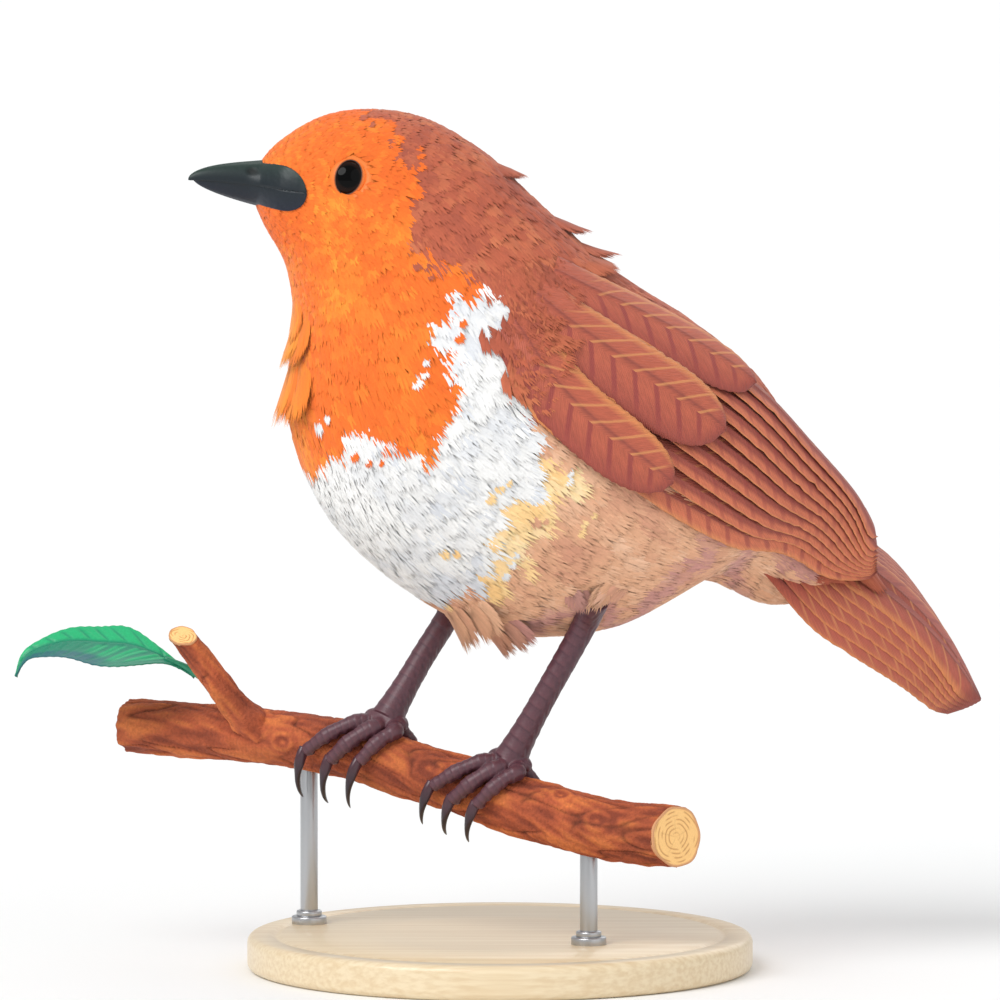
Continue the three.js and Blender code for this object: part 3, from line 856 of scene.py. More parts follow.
class Form:
    """A closed surface of sections round the bird: (section, angle from the back, height) to a place."""

    def __init__(self, table: list[tuple[float, ...]], relief: list[tuple[float, ...]] = ()) -> None:
        """Fit the surface.

        Args:
            table: back x and z, under x and z and half width of each section.
            relief: x, |y|, z, radius and height of each soft rise or hollow.
        """
        rows = np.array(table)
        self.last = len(rows) - 1
        self.backs, self.unders = Spline(rows[:, :2]), Spline(rows[:, 2:4])
        self.halves = Spline(np.column_stack([np.arange(len(rows)), rows[:, 4]]))
        self.relief = relief

    def bare(self, section: np.ndarray, angle: np.ndarray, height: np.ndarray) -> np.ndarray:
        """Give places without the relief; see point.

        Args:
            section: Section numbers.
            angle: Angles from the back.
            height: Heights over the surface.

        Returns:
            Places in the bird's frame.
        """
        inner = np.clip(section, 0, self.last)
        back, under, half = self.backs(inner), self.unders(inner), self.halves(inner)[..., 1]
        centre, reach = (back + under) / 2, (back - under) / 2
        depth = np.linalg.norm(reach, axis=-1)
        beyond = np.maximum(section - self.last, 0)
        wide = np.cos(angle) * (1 + height / depth) * (1 - 0.2 * np.minimum(beyond, 2))
        flat = centre + reach * wide[..., None] + beyond[..., None] * TAIL_STEP
        across = np.sin(angle) * (half + height) * (1 - 0.1 * np.minimum(beyond, 2))
        return np.stack([flat[..., 0], across, flat[..., 1]], axis=-1)

    def point(self, section: np.ndarray, angle: np.ndarray, height: np.ndarray | float) -> np.ndarray:
        """Give places on or by the surface.

        Args:
            section: Section numbers, whole or not.
            angle: Angles round the bird from its back, positive to its right.
            height: Height over the surface, millimetres.

        Returns:
            Places in the bird's frame.
        """
        section, angle, height = np.broadcast_arrays(section, angle, np.asarray(height, float))
        if len(self.relief):
            height = height + self.rise(self.bare(section, angle, np.zeros_like(height)))
        return self.bare(section, angle, height)

    def rise(self, points: np.ndarray) -> np.ndarray:
        """Give how far the relief lifts the surface at some places.

        Args:
            points: Places in the bird's frame.

        Returns:
            Millimetres for each.
        """
        total = np.zeros(points.shape[:-1])
        for x, y, z, radius, height in self.relief:
            away = (points[..., 0] - x) ** 2 + (np.abs(points[..., 1]) - y) ** 2 + (points[..., 2] - z) ** 2
            total += height * np.exp(-away / radius ** 2)
        return total

    def slopes(self, section: np.ndarray, angle: np.ndarray) -> tuple[np.ndarray, np.ndarray, np.ndarray]:
        """Give the steps for one section and one radian, and the outward normal, at some places.

        Args:
            section: Section numbers.
            angle: Angles from the back.

        Returns:
            Steps along the bird, steps round it, and normals.
        """
        tiny = 1e-3
        along = (self.point(section + tiny, angle, 0.0) - self.point(section - tiny, angle, 0.0)) / (2 * tiny)
        around = (self.point(section, angle + tiny, 0.0) - self.point(section, angle - tiny, 0.0)) / (2 * tiny)
        return along, around, unit(np.cross(along, around))

    def nearest(self, goal: tuple[float, float, float]) -> tuple[float, float]:
        """Give the section and angle of the surface's place nearest to a point of the bird's frame.

        Args:
            goal: The point.

        Returns:
            The section and the angle.
        """
        section, angle = np.meshgrid(np.linspace(0, self.last, 481), np.linspace(-math.pi, math.pi, 721))
        away = np.linalg.norm(self.point(section, angle, 0.0) - np.array(goal), axis=-1)
        best = np.unravel_index(away.argmin(), away.shape)
        return float(section[best]), float(angle[best])


# Outside of the plumage: back x, z; under x, z; half width, from the bill root to the tail root.
BODY_TABLE = [
    (-38.0, 115.0, -38.4, 110.3, 2.5), (-34.6, 118.5, -36.8, 106.6, 5.8), (-27.2, 122.3, -33.7, 101.1, 8.9),
    (-16.3, 122.2, -32.4, 93.5, 11.9), (-6.6, 117.5, -33.0, 86.5, 14.4), (2.6, 109.2, -33.1, 78.8, 18.4),
    (13.0, 99.7, -28.0, 65.6, 21.6), (24.5, 92.2, -17.1, 54.9, 22.0), (34.0, 84.3, -3.5, 48.1, 20.2),
    (40.6, 74.4, 12.3, 48.4, 16.0), (46.4, 66.6, 25.6, 55.0, 10.8), (49.4, 60.8, 36.2, 51.2, 7.0),
    (50.2, 57.2, 43.4, 51.8, 4.2),
]
# Soft rises (+) and hollows (-) of the head: cheek, brow, lores, chin, nape side and crown.
HEAD_RELIEF = [
    (-20.5, 11.0, 106.5, 5.5, 0.55), (-27.5, 7.0, 118.3, 3.2, 0.35), (-31.5, 6.5, 112.6, 3.0, -0.55),
    (-35.0, 3.5, 106.8, 3.0, -0.25), (-14.0, 12.0, 112.5, 5.0, -0.3), (-26.3, 9.5, 113.2, 3.4, -0.5),
]
TAIL_STEP = np.array([3.6, -3.2])
BODY = Form(BODY_TABLE, HEAD_RELIEF)


def coat_depth(section: np.ndarray, angle: np.ndarray) -> np.ndarray:
    """Give how far the skin lies under the feathers' outside, millimetres.

    Args:
        section: Section numbers.
        angle: Angles from the back.

    Returns:
        A depth for each place.
    """
    along = np.interp(section, [0, 1, 2.5, 4, 6, 8, 10, 12], [0.35, 0.5, 0.9, 1.7, 2.3, 2.3, 1.7, 0.9])
    return along * (1 - 0.18 * np.cos(angle))


@dataclass
class Flesh:
    """The skin of head, neck, trunk and thighs: one closed surface under the coat."""

    rings: int = 130
    sides: int = 110
    # Radius of a thigh in the body and where the bare leg leaves it.
    thigh_top: float = 5.6
    thigh_end: float = 1.45
    voxel: float = 0.62
    # Painted shade: how bright the skin is beside the feathers over it, darkened as if in their shadow.
    shade: float = 0.8

    def build(self) -> bpy.types.Object:
        """Model the skin, merge the thighs into it and colour it as the coat over it, darkened by painted shade.

        Returns:
            The skin.
        """
        section = BODY.last * np.linspace(0, 1, self.rings) ** 1.15
        section, angle = np.meshgrid(section, np.arange(self.sides) * TURN / self.sides, indexing="ij")
        rings = BODY.point(section, angle, -coat_depth(section, angle))
        shells = [Shell.closed(rings)]
        for leg in LEGS:
            line = leg.thigh_line()
            share = np.linspace(0, 1, 24)
            radius = leg.thigh_radius(share, self.thigh_top, self.thigh_end)
            shells.append(Shell.closed(hoops(line, share * line.length, radius, 28, np.array([1.0, 0, 0]))))
        for shell in shells:
            shell.points = to_model(shell.points)
        skin = fused("robin_skin", shells, SKIN, self.voxel, 6)
        points = from_model(read_points(skin))
        # The coat's colours, darkened by painted shade from the feathers over it.
        carry_tones(skin.data, plumage_tone(points, marking(points), np.random.default_rng(2)) * self.shade)
        return place(skin, "plumage_orange", "head", "neck", "trunk", "thigh_left", "thigh_right")


def hoops(line: Line, distance: np.ndarray, radius: np.ndarray, sides: int, toward: np.ndarray = UP) -> np.ndarray:
    """Lay rings across a curve.

    Args:
        line: The curve.
        distance: Where each ring is.
        radius: Radius of each ring, or of each point of each ring.
        sides: Points in a ring.
        toward: The direction that the first point of a ring leans to.

    Returns:
        Points by ring and place round it.
    """
    _, up, side = line.frames(distance, toward)
    angle = np.arange(sides) * TURN / sides
    radius = radius[:, None] if radius.ndim == 1 else radius
    out = up[:, None] * np.cos(angle)[:, None] + side[:, None] * np.sin(angle)[:, None]
    return line.at(distance)[:, None] + out * (radius * np.ones(sides))[..., None]


@dataclass(frozen=True)
class Leg:
    """Where one leg runs, in the bird's frame."""

    name: str
    side: int
    site: float
    hip: tuple[float, float, float]
    exit: tuple[float, float, float]
    belly: tuple[float, float, float]

    def mirrored(self, point: tuple[float, float, float]) -> np.ndarray:
        """Put a point given for the right side on this leg's side."""
        return np.array([point[0], self.side * point[1], point[2]])

    def thigh_line(self) -> Line:
        """Give the middle line of the thigh, from the hip down to where the bare leg leaves it.

        Returns:
            The line, in the bird's frame.
        """
        hip, leave = self.mirrored(self.hip), self.mirrored(self.exit)
        bend = hip + (leave - hip) * np.array([0.6, 0.45, 0.6])
        return Line(np.array([hip, bend, leave]))

    @staticmethod
    def thigh_radius(share: np.ndarray, top: float, end: float) -> np.ndarray:
        """Give the thigh's radius along it, from its top to its end radius."""
        crown = top * np.sqrt(1 - 0.7 * (1 - share) ** 6)
        return crown + (end - crown) * share ** 1.4


LEGS = (
    Leg("left", -1, 62.5, (7.5, 11.0, 63.0), (7.7, 15.3, 53.9), (7.5, 11.8, 49.6)),
    Leg("right", 1, 41.8, (-2.0, 12.0, 64.0), (-6.2, 13.6, 55.5), (-7.6, 9.8, 50.6)),
)


# ---- Contour plumage ----------------------------------------------------------------------------------------

EYE_CENTRE = (-26.25, 6.9, 113.6)
EYE_RADIUS = 3.3
# How far from the eye's middle the bare rim reaches.
LID_REACH = 2.55


@dataclass
class Roots:
    """Where tufts grow and how big they are: one value in each array for each tuft."""

    section: np.ndarray
    angle: np.ndarray
    length: np.ndarray
    width: np.ndarray
    lie: np.ndarray
    lift: np.ndarray
    depth: np.ndarray

    def chosen(self, which: np.ndarray) -> "Roots":
        """Keep some of the tufts."""
        return Roots(*(getattr(self, name)[which] for name in self.__dataclass_fields__))

    def joined(self, rows: list[tuple[float, ...]]) -> "Roots":
        """Add tufts, each given by its values in the order above."""
        pairs = zip(self.__dataclass_fields__, np.array(rows).T)
        return Roots(*(np.concatenate([getattr(self, name), values]) for name, values in pairs))


class Tufts:
    """Feathers as fans of thin closed barbs that fit a surface and shingle toward the tail."""

    def __init__(self, form: Form, barbs: int, fineness: float, seed: int, ragged: float = 1.0) -> None:
        """Set the fan out in unit lengths: x along the feather and y across it.

        Args:
            form: The surface that the feathers lie on.
            barbs: Number of barbs in a feather.
            fineness: Width of a barb as a share of the space between two tips.
            seed: Number that fixes the random changes.
            ragged: How unevenly the barbs end.
        """
        self.form = form
        self.barbs = barbs
        self.ragged = ragged
        self.chance = np.random.default_rng(seed)
        spread = np.linspace(-1, 1, barbs)
        turn = np.radians(98) * np.sign(spread) * np.abs(spread) ** 0.85
        self.tip = np.stack([0.62 + 0.38 * np.cos(turn), np.sin(turn)], axis=-1)
        self.base = np.stack([np.maximum(0.0, self.tip[:, 0] - 0.62), 0.22 * self.tip[:, 1]], axis=-1)
        self.middle = self.base + (self.tip - self.base) * np.array([0.52, 0.64])
        self.wide = fineness * math.pi / barbs

    def spots(self, roots: Roots) -> tuple[np.ndarray, np.ndarray]:
        """Set out each feather's barbs on a flat sheet, in millimetres.

        Args:
            roots: Where the feathers grow and how big they are.

        Returns:
            Five places for each barb, its root, two sides, back and tip, and the way that the barb points.
        """
        count, barbs = len(roots.section), self.barbs
        sway = self.chance.normal(0, 0.045, (count, barbs)) * self.ragged
        reach = 1 + self.chance.normal(0, 0.05, (count, barbs)) * self.ragged
        length, width = roots.length[:, None], roots.width[:, None]

        def flat(spot: np.ndarray, grow: np.ndarray | float) -> np.ndarray:
            """Stretch unit lengths to the feathers' size.

            Args:
                spot: x and y of each barb.
                grow: Stretch of each barb along the feather, 1 for none.

            Returns:
                Places by feather and barb.
            """
            x = spot[:, 0] * grow * length
            y = spot[:, 1] * width + sway * length * spot[:, 0]
            return np.stack([x, y], axis=-1)

        base, middle, tip = flat(self.base, 1.0), flat(self.middle, reach), flat(self.tip, reach)
        aim = unit(tip - base)
        aside = np.stack([-aim[..., 1], aim[..., 0]], axis=-1) * (self.wide * width * 0.5)[..., None]
        return np.stack([base, middle - aside, middle + aside, middle, tip], axis=2), aim

    @staticmethod
    def carried(roots: Roots, along: np.ndarray, around: np.ndarray,
                step: np.ndarray) -> tuple[np.ndarray, np.ndarray]:
        """Find the section and angle that steps from the roots lead to.

        Args:
            roots: Where the feathers grow.
            along: How the form's points move with the section, at each root.
            around: How they move with the angle.
            step: Steps in millimetres, by feather, barb and place.

        Returns:
            The sections and the angles.
        """
        pull_s = np.einsum("nbpk,nk->nbp", step, along)
        pull_a = np.einsum("nbpk,nk->nbp", step, around)
        ss, sa, aa = (along ** 2).sum(-1), (along * around).sum(-1), (around ** 2).sum(-1)
        grid = np.maximum(ss * aa - sa * sa, 1e-9)[:, None, None]
        section = roots.section[:, None, None] + (pull_s * aa[:, None, None] - pull_a * sa[:, None, None]) / grid
        angle = roots.angle[:, None, None] + (pull_a * ss[:, None, None] - pull_s * sa[:, None, None]) / grid
        return section, angle

    def shell(self, roots: Roots, tones: np.ndarray, map_place: np.ndarray) -> Shell:
        """Grow the feathers.

        Args:
            roots: Where and how big they are.
            tones: Colour of each feather.
            map_place: Place of each feather's root on the unwrapped skin.

        Returns:
            Their barbs as one mesh of closed spindles.
        """
        count, barbs = len(roots.section), self.barbs
        along, around, normal = self.form.slopes(roots.section, roots.angle)
        ahead = unit(along)
        beside = np.cross(normal, ahead)
        shape = (count, barbs, 1)
        length, width = roots.length[:, None, None], roots.width[:, None, None]
        spots, aim = self.spots(roots)
        cosine, sine = np.cos(roots.lie)[:, None, None], np.sin(roots.lie)[:, None, None]
        x, y = spots[..., 0], spots[..., 1]
        forth, across = x * cosine - y * sine, x * sine + y * cosine
        step = forth[..., None] * ahead[:, None, None] + across[..., None] * beside[:, None, None]
        section, angle = self.carried(roots, along, around, step)
        share = np.clip(x / length, 0, 1.1)
        rim = y / width
        depth, lift = roots.depth[:, None, None], roots.lift[:, None, None]
        height = -depth * np.maximum(1 - share, 0) ** 3.4 + lift * share ** 2 - 0.07 * width * rim ** 2
        height = height + self.chance.normal(0, 0.016, shape) * width + 0.02
        height[..., 3] += 0.22 * self.wide * width[..., 0]
        section = np.clip(section, 0.0, self.form.last + 1.2)
        points = self.form.point(section, angle, height)
        _, _, up = self.form.slopes(section.ravel(), angle.ravel())
        up = up.reshape(points.shape)
        side = np.array([0.0, -1.0, 1.0, 0.0, 0.0])[:, None]
        aim_x, aim_y = aim[..., 0:1] * cosine - aim[..., 1:2] * sine, aim[..., 0:1] * sine + aim[..., 1:2] * cosine
        barb = aim_x * ahead[:, None] + aim_y * beside[:, None]
        edge = np.cross(up, barb[:, :, None])
        lie_way = cosine[..., None] * ahead[:, None, None] + sine[..., None] * beside[:, None, None]
        feather_edge = np.cross(up, lie_way)
        normals = up + 0.20 * side * edge + 0.34 * rim[..., None] * feather_edge
        shade = np.array([0.86, 0.97, 0.97, 1.0, 1.05]) * (1 + self.chance.normal(0, 0.035, shape))
        colour = tones[:, None, None] * shade[..., None]
        local = np.stack([share - 0.5, 0.4 * y / width], axis=-1)
        maps = map_place[:, None, None] + BAKE_PATCH * local
        starts = (np.arange(count * barbs) * 5)[:, None, None]
        spindle = np.array([(0, 1, 3), (0, 3, 2), (1, 4, 3), (3, 4, 2), (0, 2, 1), (1, 2, 4)])
        faces = (starts + spindle[None]).reshape(-1, 3)
        made = Shell(to_model(points.reshape(-1, 3)), faces, np.clip(colour.reshape(-1, 3), 0, 1),
                     {BAKE_MAP: maps.reshape(-1, 2)}, turned(unit(normals.reshape(-1, 3))))
        a, b, c = made.points[faces[0]]
        if np.cross(b - a, c - a) @ turned(up.reshape(-1, 3)[faces[0, :1]])[0] < 0:
            made.faces = faces[:, ::-1]
        return made


# Odd feathers on the near side, as seen from it: x, z, colour, length.
FLECKS = [
    (-22.8, 120.7, Marking.BROWN, 2.4), (-21.6, 119.7, Marking.BROWN, 1.6), (-14.5, 116.3, Marking.ORANGE, 1.6),
    (-14.5, 115.3, Marking.ORANGE, 1.8), (-14.5, 113.9, Marking.ORANGE, 2.2), (-15.0, 100.1, Marking.BROWN, 2.2),
    (-13.5, 99.7, Marking.BROWN, 2.2), (-12.9, 98.3, Marking.BROWN, 1.6), (-2.9, 95.7, Marking.WHITE, 1.8),
    (-2.8, 94.5, Marking.WHITE, 2.2), (-8.1, 91.2, Marking.ORANGE, 2.0), (-8.6, 89.3, Marking.ORANGE, 2.6),
    (-13.4, 85.7, Marking.WHITE, 1.8), (-13.5, 84.1, Marking.WHITE, 2.0), (-14.4, 82.7, Marking.WHITE, 2.8),
    (-29.2, 77.4, Marking.WHITE, 2.6), (-27.7, 78.0, Marking.WHITE, 1.8), (-23.5, 72.3, Marking.ORANGE, 3.0),
    (-21.5, 71.7, Marking.ORANGE, 2.2), (-19.8, 71.5, Marking.ORANGE, 1.6), (-1.2, 69.0, Marking.BUFF, 1.8),
    (-2.5, 67.9, Marking.BUFF, 2.2), (-3.8, 66.5, Marking.BUFF, 2.6), (-10.3, 58.8, Marking.BUFF, 2.4),
    (-8.7, 58.9, Marking.BUFF, 1.8), (7.6, 70.5, Marking.WHITE, 1.8), (7.4, 69.0, Marking.WHITE, 2.2),
    (-0.1, 58.8, Marking.WHITE, 1.8), (-0.6, 57.4, Marking.WHITE, 2.0), (-1.5, 55.8, Marking.WHITE, 2.6),
    (10.9, 64.4, Marking.BUFF, 1.6), (9.7, 63.3, Marking.BUFF, 2.0), (9.4, 61.9, Marking.BUFF, 2.4),
    (3.9, 63.6, Marking.TAN, 1.6), (2.6, 63.1, Marking.TAN, 2.4), (-9.7, 51.1, Marking.BUFF, 2.6),
    (-7.8, 50.6, Marking.BUFF, 1.8),
]


@dataclass
class Coat:
    """All contour plumage of head, neck and trunk, in rows from the bill to the tail."""

    seed: int = 7
    # Space between feathers on head and neck, and on the body: sections, then millimetres.
    head_gaps: tuple[tuple[float, ...], ...] = ((0, 1.2, 2.6, 4.0), (0.62, 0.72, 0.95, 1.45))
    body_gaps: tuple[tuple[float, ...], ...] = ((4, 6, 10, 12), (1.376, 1.72, 1.72, 1.462))
    # Length and half width of a feather as shares of that space: sections, then shares.
    lengths: tuple[tuple[float, ...], ...] = ((0, 1, 3, 5, 9, 12), (2.2, 2.6, 3.2, 3.9, 4.1, 3.9))
    widths: tuple[tuple[float, ...], ...] = ((0, 2, 5), (0.92, 1.0, 1.08))
    # Rings of feathers round the top of each bare leg: radius, length, lift, and how many in a ring.
    cuffs: tuple[tuple[float, float, float], ...] = ((4.6, 4.2, 1.4), (4.0, 3.9, 2.2), (3.4, 3.5, 2.9))
    cuff_count: int = 15
    lock_layers: int = 6
    lock_barbs: int = 55
    # Parts of the bird: name, first and last section, barbs in a feather.
    parts: tuple[tuple[str, float, float, int], ...] = (
        ("head", 0, 3.4, 11), ("neck", 3.4, 5.3, 19), ("body", 5.3, 8.2, 27), ("rear", 8.2, 13, 27),
    )
    # Tufts that stand out: section, angle in degrees, length, half width, lift.
    proud: tuple[tuple[float, ...], ...] = (
        (4.15, -4, 6.5, 2.6, 1.6), (4.22, 10, 6.0, 2.3, 1.1), (5.02, -5, 7.6, 2.6, 2.3), (5.1, 11, 6.9, 2.3, 1.5),
        (5.42, -4, 7.6, 2.6, 2.5), (5.5, -19, 7.0, 2.3, 1.6), (2.44, 178, 7.4, 2.6, 1.5), (2.72, 178, 8.0, 2.3, 2.9),
        (2.8, -168, 7.8, 2.2, 2.3), (3.62, 179, 8.6, 2.5, 3.3), (3.7, -167, 8.4, 2.4, 2.5),
        (7.25, -170, 9.9, 2.5, 4.9), (7.3, -157, 9.3, 2.3, 4.0), (7.66, -173, 9.7, 2.5, 4.7),
        (7.7, -160, 9.1, 2.3, 4.0), (7.4, 160, 8.4, 2.0, 2.6), (7.7, 166, 8.4, 2.0, 2.6),
    )

    def rows(self) -> Roots:
        """Scatter the roots in staggered rows, closer on the head, and size each feather.

        Returns:
            The roots of all feathers that lie in rows.
        """
        chance = np.random.default_rng(self.seed)
        sections, angles, gaps = [], [], []
        section, row = 0.03, 0
        while section < BODY.last - 0.35:
            gap = float(np.interp(section, *(self.body_gaps if section > 4.0 else self.head_gaps)))
            ring = BODY.point(np.full(181, section), np.linspace(-math.pi, math.pi, 181), 0.0)
            lengths = distances(ring)
            count = max(6, int(lengths[-1] / gap))
            spots = (np.arange(count) + 0.5 * (row % 2) + chance.normal(0, 0.16, count)) / count % 1
            angle = np.interp(spots * lengths[-1], lengths, np.linspace(-math.pi, math.pi, 181))
            slopes = BODY.slopes(np.full(3, section), np.array([0.0, 1.57, 3.14]))
            step = np.linalg.norm(slopes[0], axis=-1).mean()
            sections.append(section + chance.normal(0, 0.2, count) * gap / step)
            angles.append(angle)
            gaps.append(np.full(count, gap))
            section += gap * 0.92 / step
            row += 1
        section, angle, gap = (np.concatenate(values) for values in (sections, angles, gaps))
        section = np.clip(section, 0.0, BODY.last - 0.3)
        length = gap * np.interp(section, *self.lengths)
        length *= 1 + chance.normal(0, 0.08, len(gap))
        width = gap * np.interp(section, *self.widths)
        lift = 0.07 + 0.03 * np.abs(chance.normal(0, 1, len(gap))) * gap
        return Roots(section, angle, length, width, chance.normal(0, 0.1, len(gap)), lift, coat_depth(section, angle))

    @staticmethod
    def part_round_eye(roots: Roots) -> Roots:
        """Keep the feathers off the eye, and turn those beside it to flow round it.

        Args:
            roots: The feathers' roots.

        Returns:
            Those that stay.
        """
        keep = np.ones(len(roots.section), bool)
        for side in (-1, 1):
            goal = np.array([1, side, 1]) * EYE_CENTRE + np.array([0.1, 0, 0.1])
            here = BODY.point(roots.section, roots.angle, 0.0)
            along, _, normal = BODY.slopes(roots.section, roots.angle)
            ahead = unit(along)
            beside = np.cross(normal, ahead)
            near = (np.sign(here[:, 1]) == side) & (roots.section < 4.5)
            offset = here - goal
            x, y = (offset * ahead).sum(-1), (offset * beside).sum(-1)
            away = np.hypot(x, y)
            keep &= ~(near & (away < LID_REACH + 0.12))
            roots.depth = roots.depth * np.where(near, 0.15 + 0.85 * ease(LID_REACH, LID_REACH + 2.6, away), 1)
            pull = 0.85 * np.exp(-np.maximum(away - LID_REACH, 0) / 1.5)
            aim_x, aim_y = 1 + pull * x / np.maximum(away, 0.1), pull * y / np.maximum(away, 0.1)
            roots.lie = np.where(near, roots.lie + np.arctan2(aim_y, np.maximum(aim_x, 0.12)), roots.lie)
            toward = -(x * np.cos(roots.lie) + y * np.sin(roots.lie)) / np.maximum(away, 0.1)
            room = (away - LID_REACH + 0.28) / np.clip(toward, 0.22, 1)
            close = near & (toward > 0.1)
            roots.length = np.where(close, np.minimum(roots.length, np.maximum(room, 0.45)), roots.length)
            roots.width = np.where(close, np.minimum(roots.width, np.maximum(room, 0.35)), roots.width)
        return roots.chosen(keep)

    def locks(self) -> Roots:
        """Set out the rounded locks that stand out from the outline, each of stacked feathers.

        Returns:
            The roots of the locks' feathers.
        """
        section, angle, length, width, lift = np.repeat(self.proud, self.lock_layers, axis=0).T
        layer = np.tile(np.arange(self.lock_layers), len(self.proud)) / (self.lock_layers - 1)
        angle = np.radians(angle + 5 * np.sin(layer * 9))
        return Roots(section, angle, length * (1 - 0.42 * layer ** 2), width * (1 - 0.15 * layer),
                     np.zeros(len(angle)), lift * (1 - layer) ** 0.8 + 0.1, 0.5 * coat_depth(section, angle))

    def add_cuffs(self, roots: Roots) -> Roots:
        """Wrap the top of each bare leg in a cuff of short feathers that hang down round it.

        Args:
            roots: The feathers' roots.

        Returns:
            The same with the cuffs'.
        """
        chance = np.random.default_rng(self.seed + 5)
        rows = []
        for leg in LEGS:
            section, angle = BODY.nearest(tuple(leg.mirrored(leg.exit)))
            section -= 0.06
            along, around, normal = (axis[0] for axis in BODY.slopes(np.array([section]), np.array([angle])))
            ahead = unit(along)
            beside = np.cross(normal, ahead)
            for ring, reach, lift in self.cuffs:
                for turn in (np.arange(self.cuff_count) + chance.uniform()) * TURN / self.cuff_count:
                    step = ring * (math.cos(turn) * ahead + math.sin(turn) * beside)
                    if step[2] < 0.35 * ring:
                        continue
                    rows.append((section + step @ along / (along @ along), angle + step @ around / (around @ around),
                                 reach, 1.5, turn + math.pi + chance.normal(0, 0.15), lift, 0.6))
        return roots.joined(rows)

    @staticmethod
    def add_flecks(roots: Roots, colours: np.ndarray) -> tuple[Roots, np.ndarray]:
        """Scatter the small odd feathers that carry one colour over into the next.

        Args:
            roots: The feathers' roots.
            colours: Number of the marking of each.

        Returns:
            Both, with those of the odd feathers.
        """
        grid = np.meshgrid(np.linspace(0, BODY.last, 400), np.radians(np.linspace(-178, -2, 240)), indexing="ij")
        section, angle = (values.ravel() for values in grid)
        seen = side_view(BODY.point(section, angle, 0.0))
        extra, kinds = [], []
        for x, z, colour, length in FLECKS:
            pick = np.hypot(seen[:, 0] - x, seen[:, 1] - z).argmin()
            start = section[pick] - 0.5 * length / 9.0
            for side in (1, -1):
                extra.append((start, angle[pick] * side, length, length * 0.34, 0.0, 0.34, 0.25))
                kinds.append(colour.value)
        return roots.joined(extra), np.concatenate([colours, kinds])

    def build(self) -> list[bpy.types.Object]:
        """Grow the coat in pieces, one for each colour and part of the bird.

        Returns:
            The pieces.
        """
        roots = self.add_cuffs(self.part_round_eye(self.rows()))
        degrees = np.degrees(np.abs((roots.angle + math.pi) % TURN - math.pi))
        upper = np.interp(roots.section, WING_EDGE_SECTIONS, WING_EDGE_UPPER)
        lower = np.interp(roots.section, WING_EDGE_SECTIONS, WING_EDGE_LOWER)
        hidden = (roots.section > 5.9) & (degrees > upper + 9) & (degrees < lower - 6)
        roots = roots.chosen(~hidden)
        chance = np.random.default_rng(self.seed + 1)
        tips = BODY.point(roots.section + 0.55 * roots.length / 9, roots.angle, 0.0)
        colours = marking(tips + chance.normal(0, 0.3, tips.shape))
        roots, colours = self.add_flecks(roots, colours)
        made = []
        for number, (part, start, end, barbs) in enumerate(self.parts):
            for colour in Marking:
                which = (roots.section >= start) & (roots.section < end) & (colours == colour.value)
                if which.sum() >= 3:
                    made.append(self.grown(part, roots.chosen(which), colour, barbs, 40 + 10 * number + colour.value))
        locks = self.locks()
        colours = marking(BODY.point(locks.section + 0.5 * (locks.section > 7), locks.angle, 0.0), 0.0)
        for colour in Marking:
            which = colours == colour.value
            if which.any():
                seed = 90 + colour.value
                made.append(self.grown("locks", locks.chosen(which), colour, self.lock_barbs, seed, 4.6, 0.35))
        return made

    @staticmethod
    def grown(part: str, roots: Roots, colour: Marking, barbs: int, seed: int, fineness: float = 2.3,
              ragged: float = 1.0) -> bpy.types.Object:
        """Grow one piece of the coat.

        Args:
            part: Name of the part of the bird.
            roots: Where its feathers grow and how big they are.
            colour: Their colour.
            barbs: Number of barbs in each.
            seed: Number that fixes the random changes.
            fineness: Width of a barb as a share of the space between two tips.
            ragged: How unevenly the barbs end.

        Returns:
            The piece.
        """
        spots = BODY.point(roots.section, roots.angle, 0.0)
        tones = plumage_tone(spots, np.full(len(spots), colour.value), np.random.default_rng(seed))
        map_place = np.stack([(roots.angle / TURN) % 1 * 0.99 + 0.005,
                              roots.section / BODY.last * 0.98 + 0.01], axis=-1)
        shell = Tufts(BODY, barbs, fineness, seed, ragged).shell(roots, tones, map_place)
        slot = {Marking.ORANGE: "plumage_orange", Marking.BROWN: "plumage_brown"}.get(colour, "plumage_white")
        return place(shell.piece(f"coat_{part}_{colour.name.lower()}", PLUMAGE), slot)


# Upper and lower edge of the folded wing, in degrees from the back, at sections of the body.
WING_EDGE_SECTIONS = (5.1, 5.45, 6, 7, 8, 9, 10, 11, 12)
WING_EDGE_UPPER = (58, 40, 31, 24, 22, 22, 25, 33, 62)
WING_EDGE_LOWER = (72, 83, 88, 87, 87, 88.5, 98, 100, 100)


# ---- Vaned feathers: wings and tail -------------------------------------------------------------------------


@dataclass(frozen=True)
class Quill:
    """One vaned feather: where its root and tip lie on the surface that carries it, and its size."""

    root: tuple[float, float]
    tip: tuple[float, float]
    half: float
    height: tuple[float, float]
    tilt: float = 0.0
    bend: float = 0.0
    blunt: float = 0.2
    narrow_root: float = 0.45
    shaft_side: float = 0.0
    # Share across at which the visible part starts, side of the pale edge, strength of the bars. The pale edge is
    # partly the feather's own paler edge and partly a painted highlight, and the bars carry painted highlight
    # streaks.
    hidden: float = -1.0
    pale_side: int = 1
    bars: float = 0.0
    cup: float = 0.13
    slim: float = 0.0
    shades: tuple[str, str, str, str] = ("bb6145", "a4503f", "d07d4f", "8e4435")


# Gives places for two parameters and a height.
Surface = Callable[[np.ndarray, np.ndarray, np.ndarray], np.ndarray]


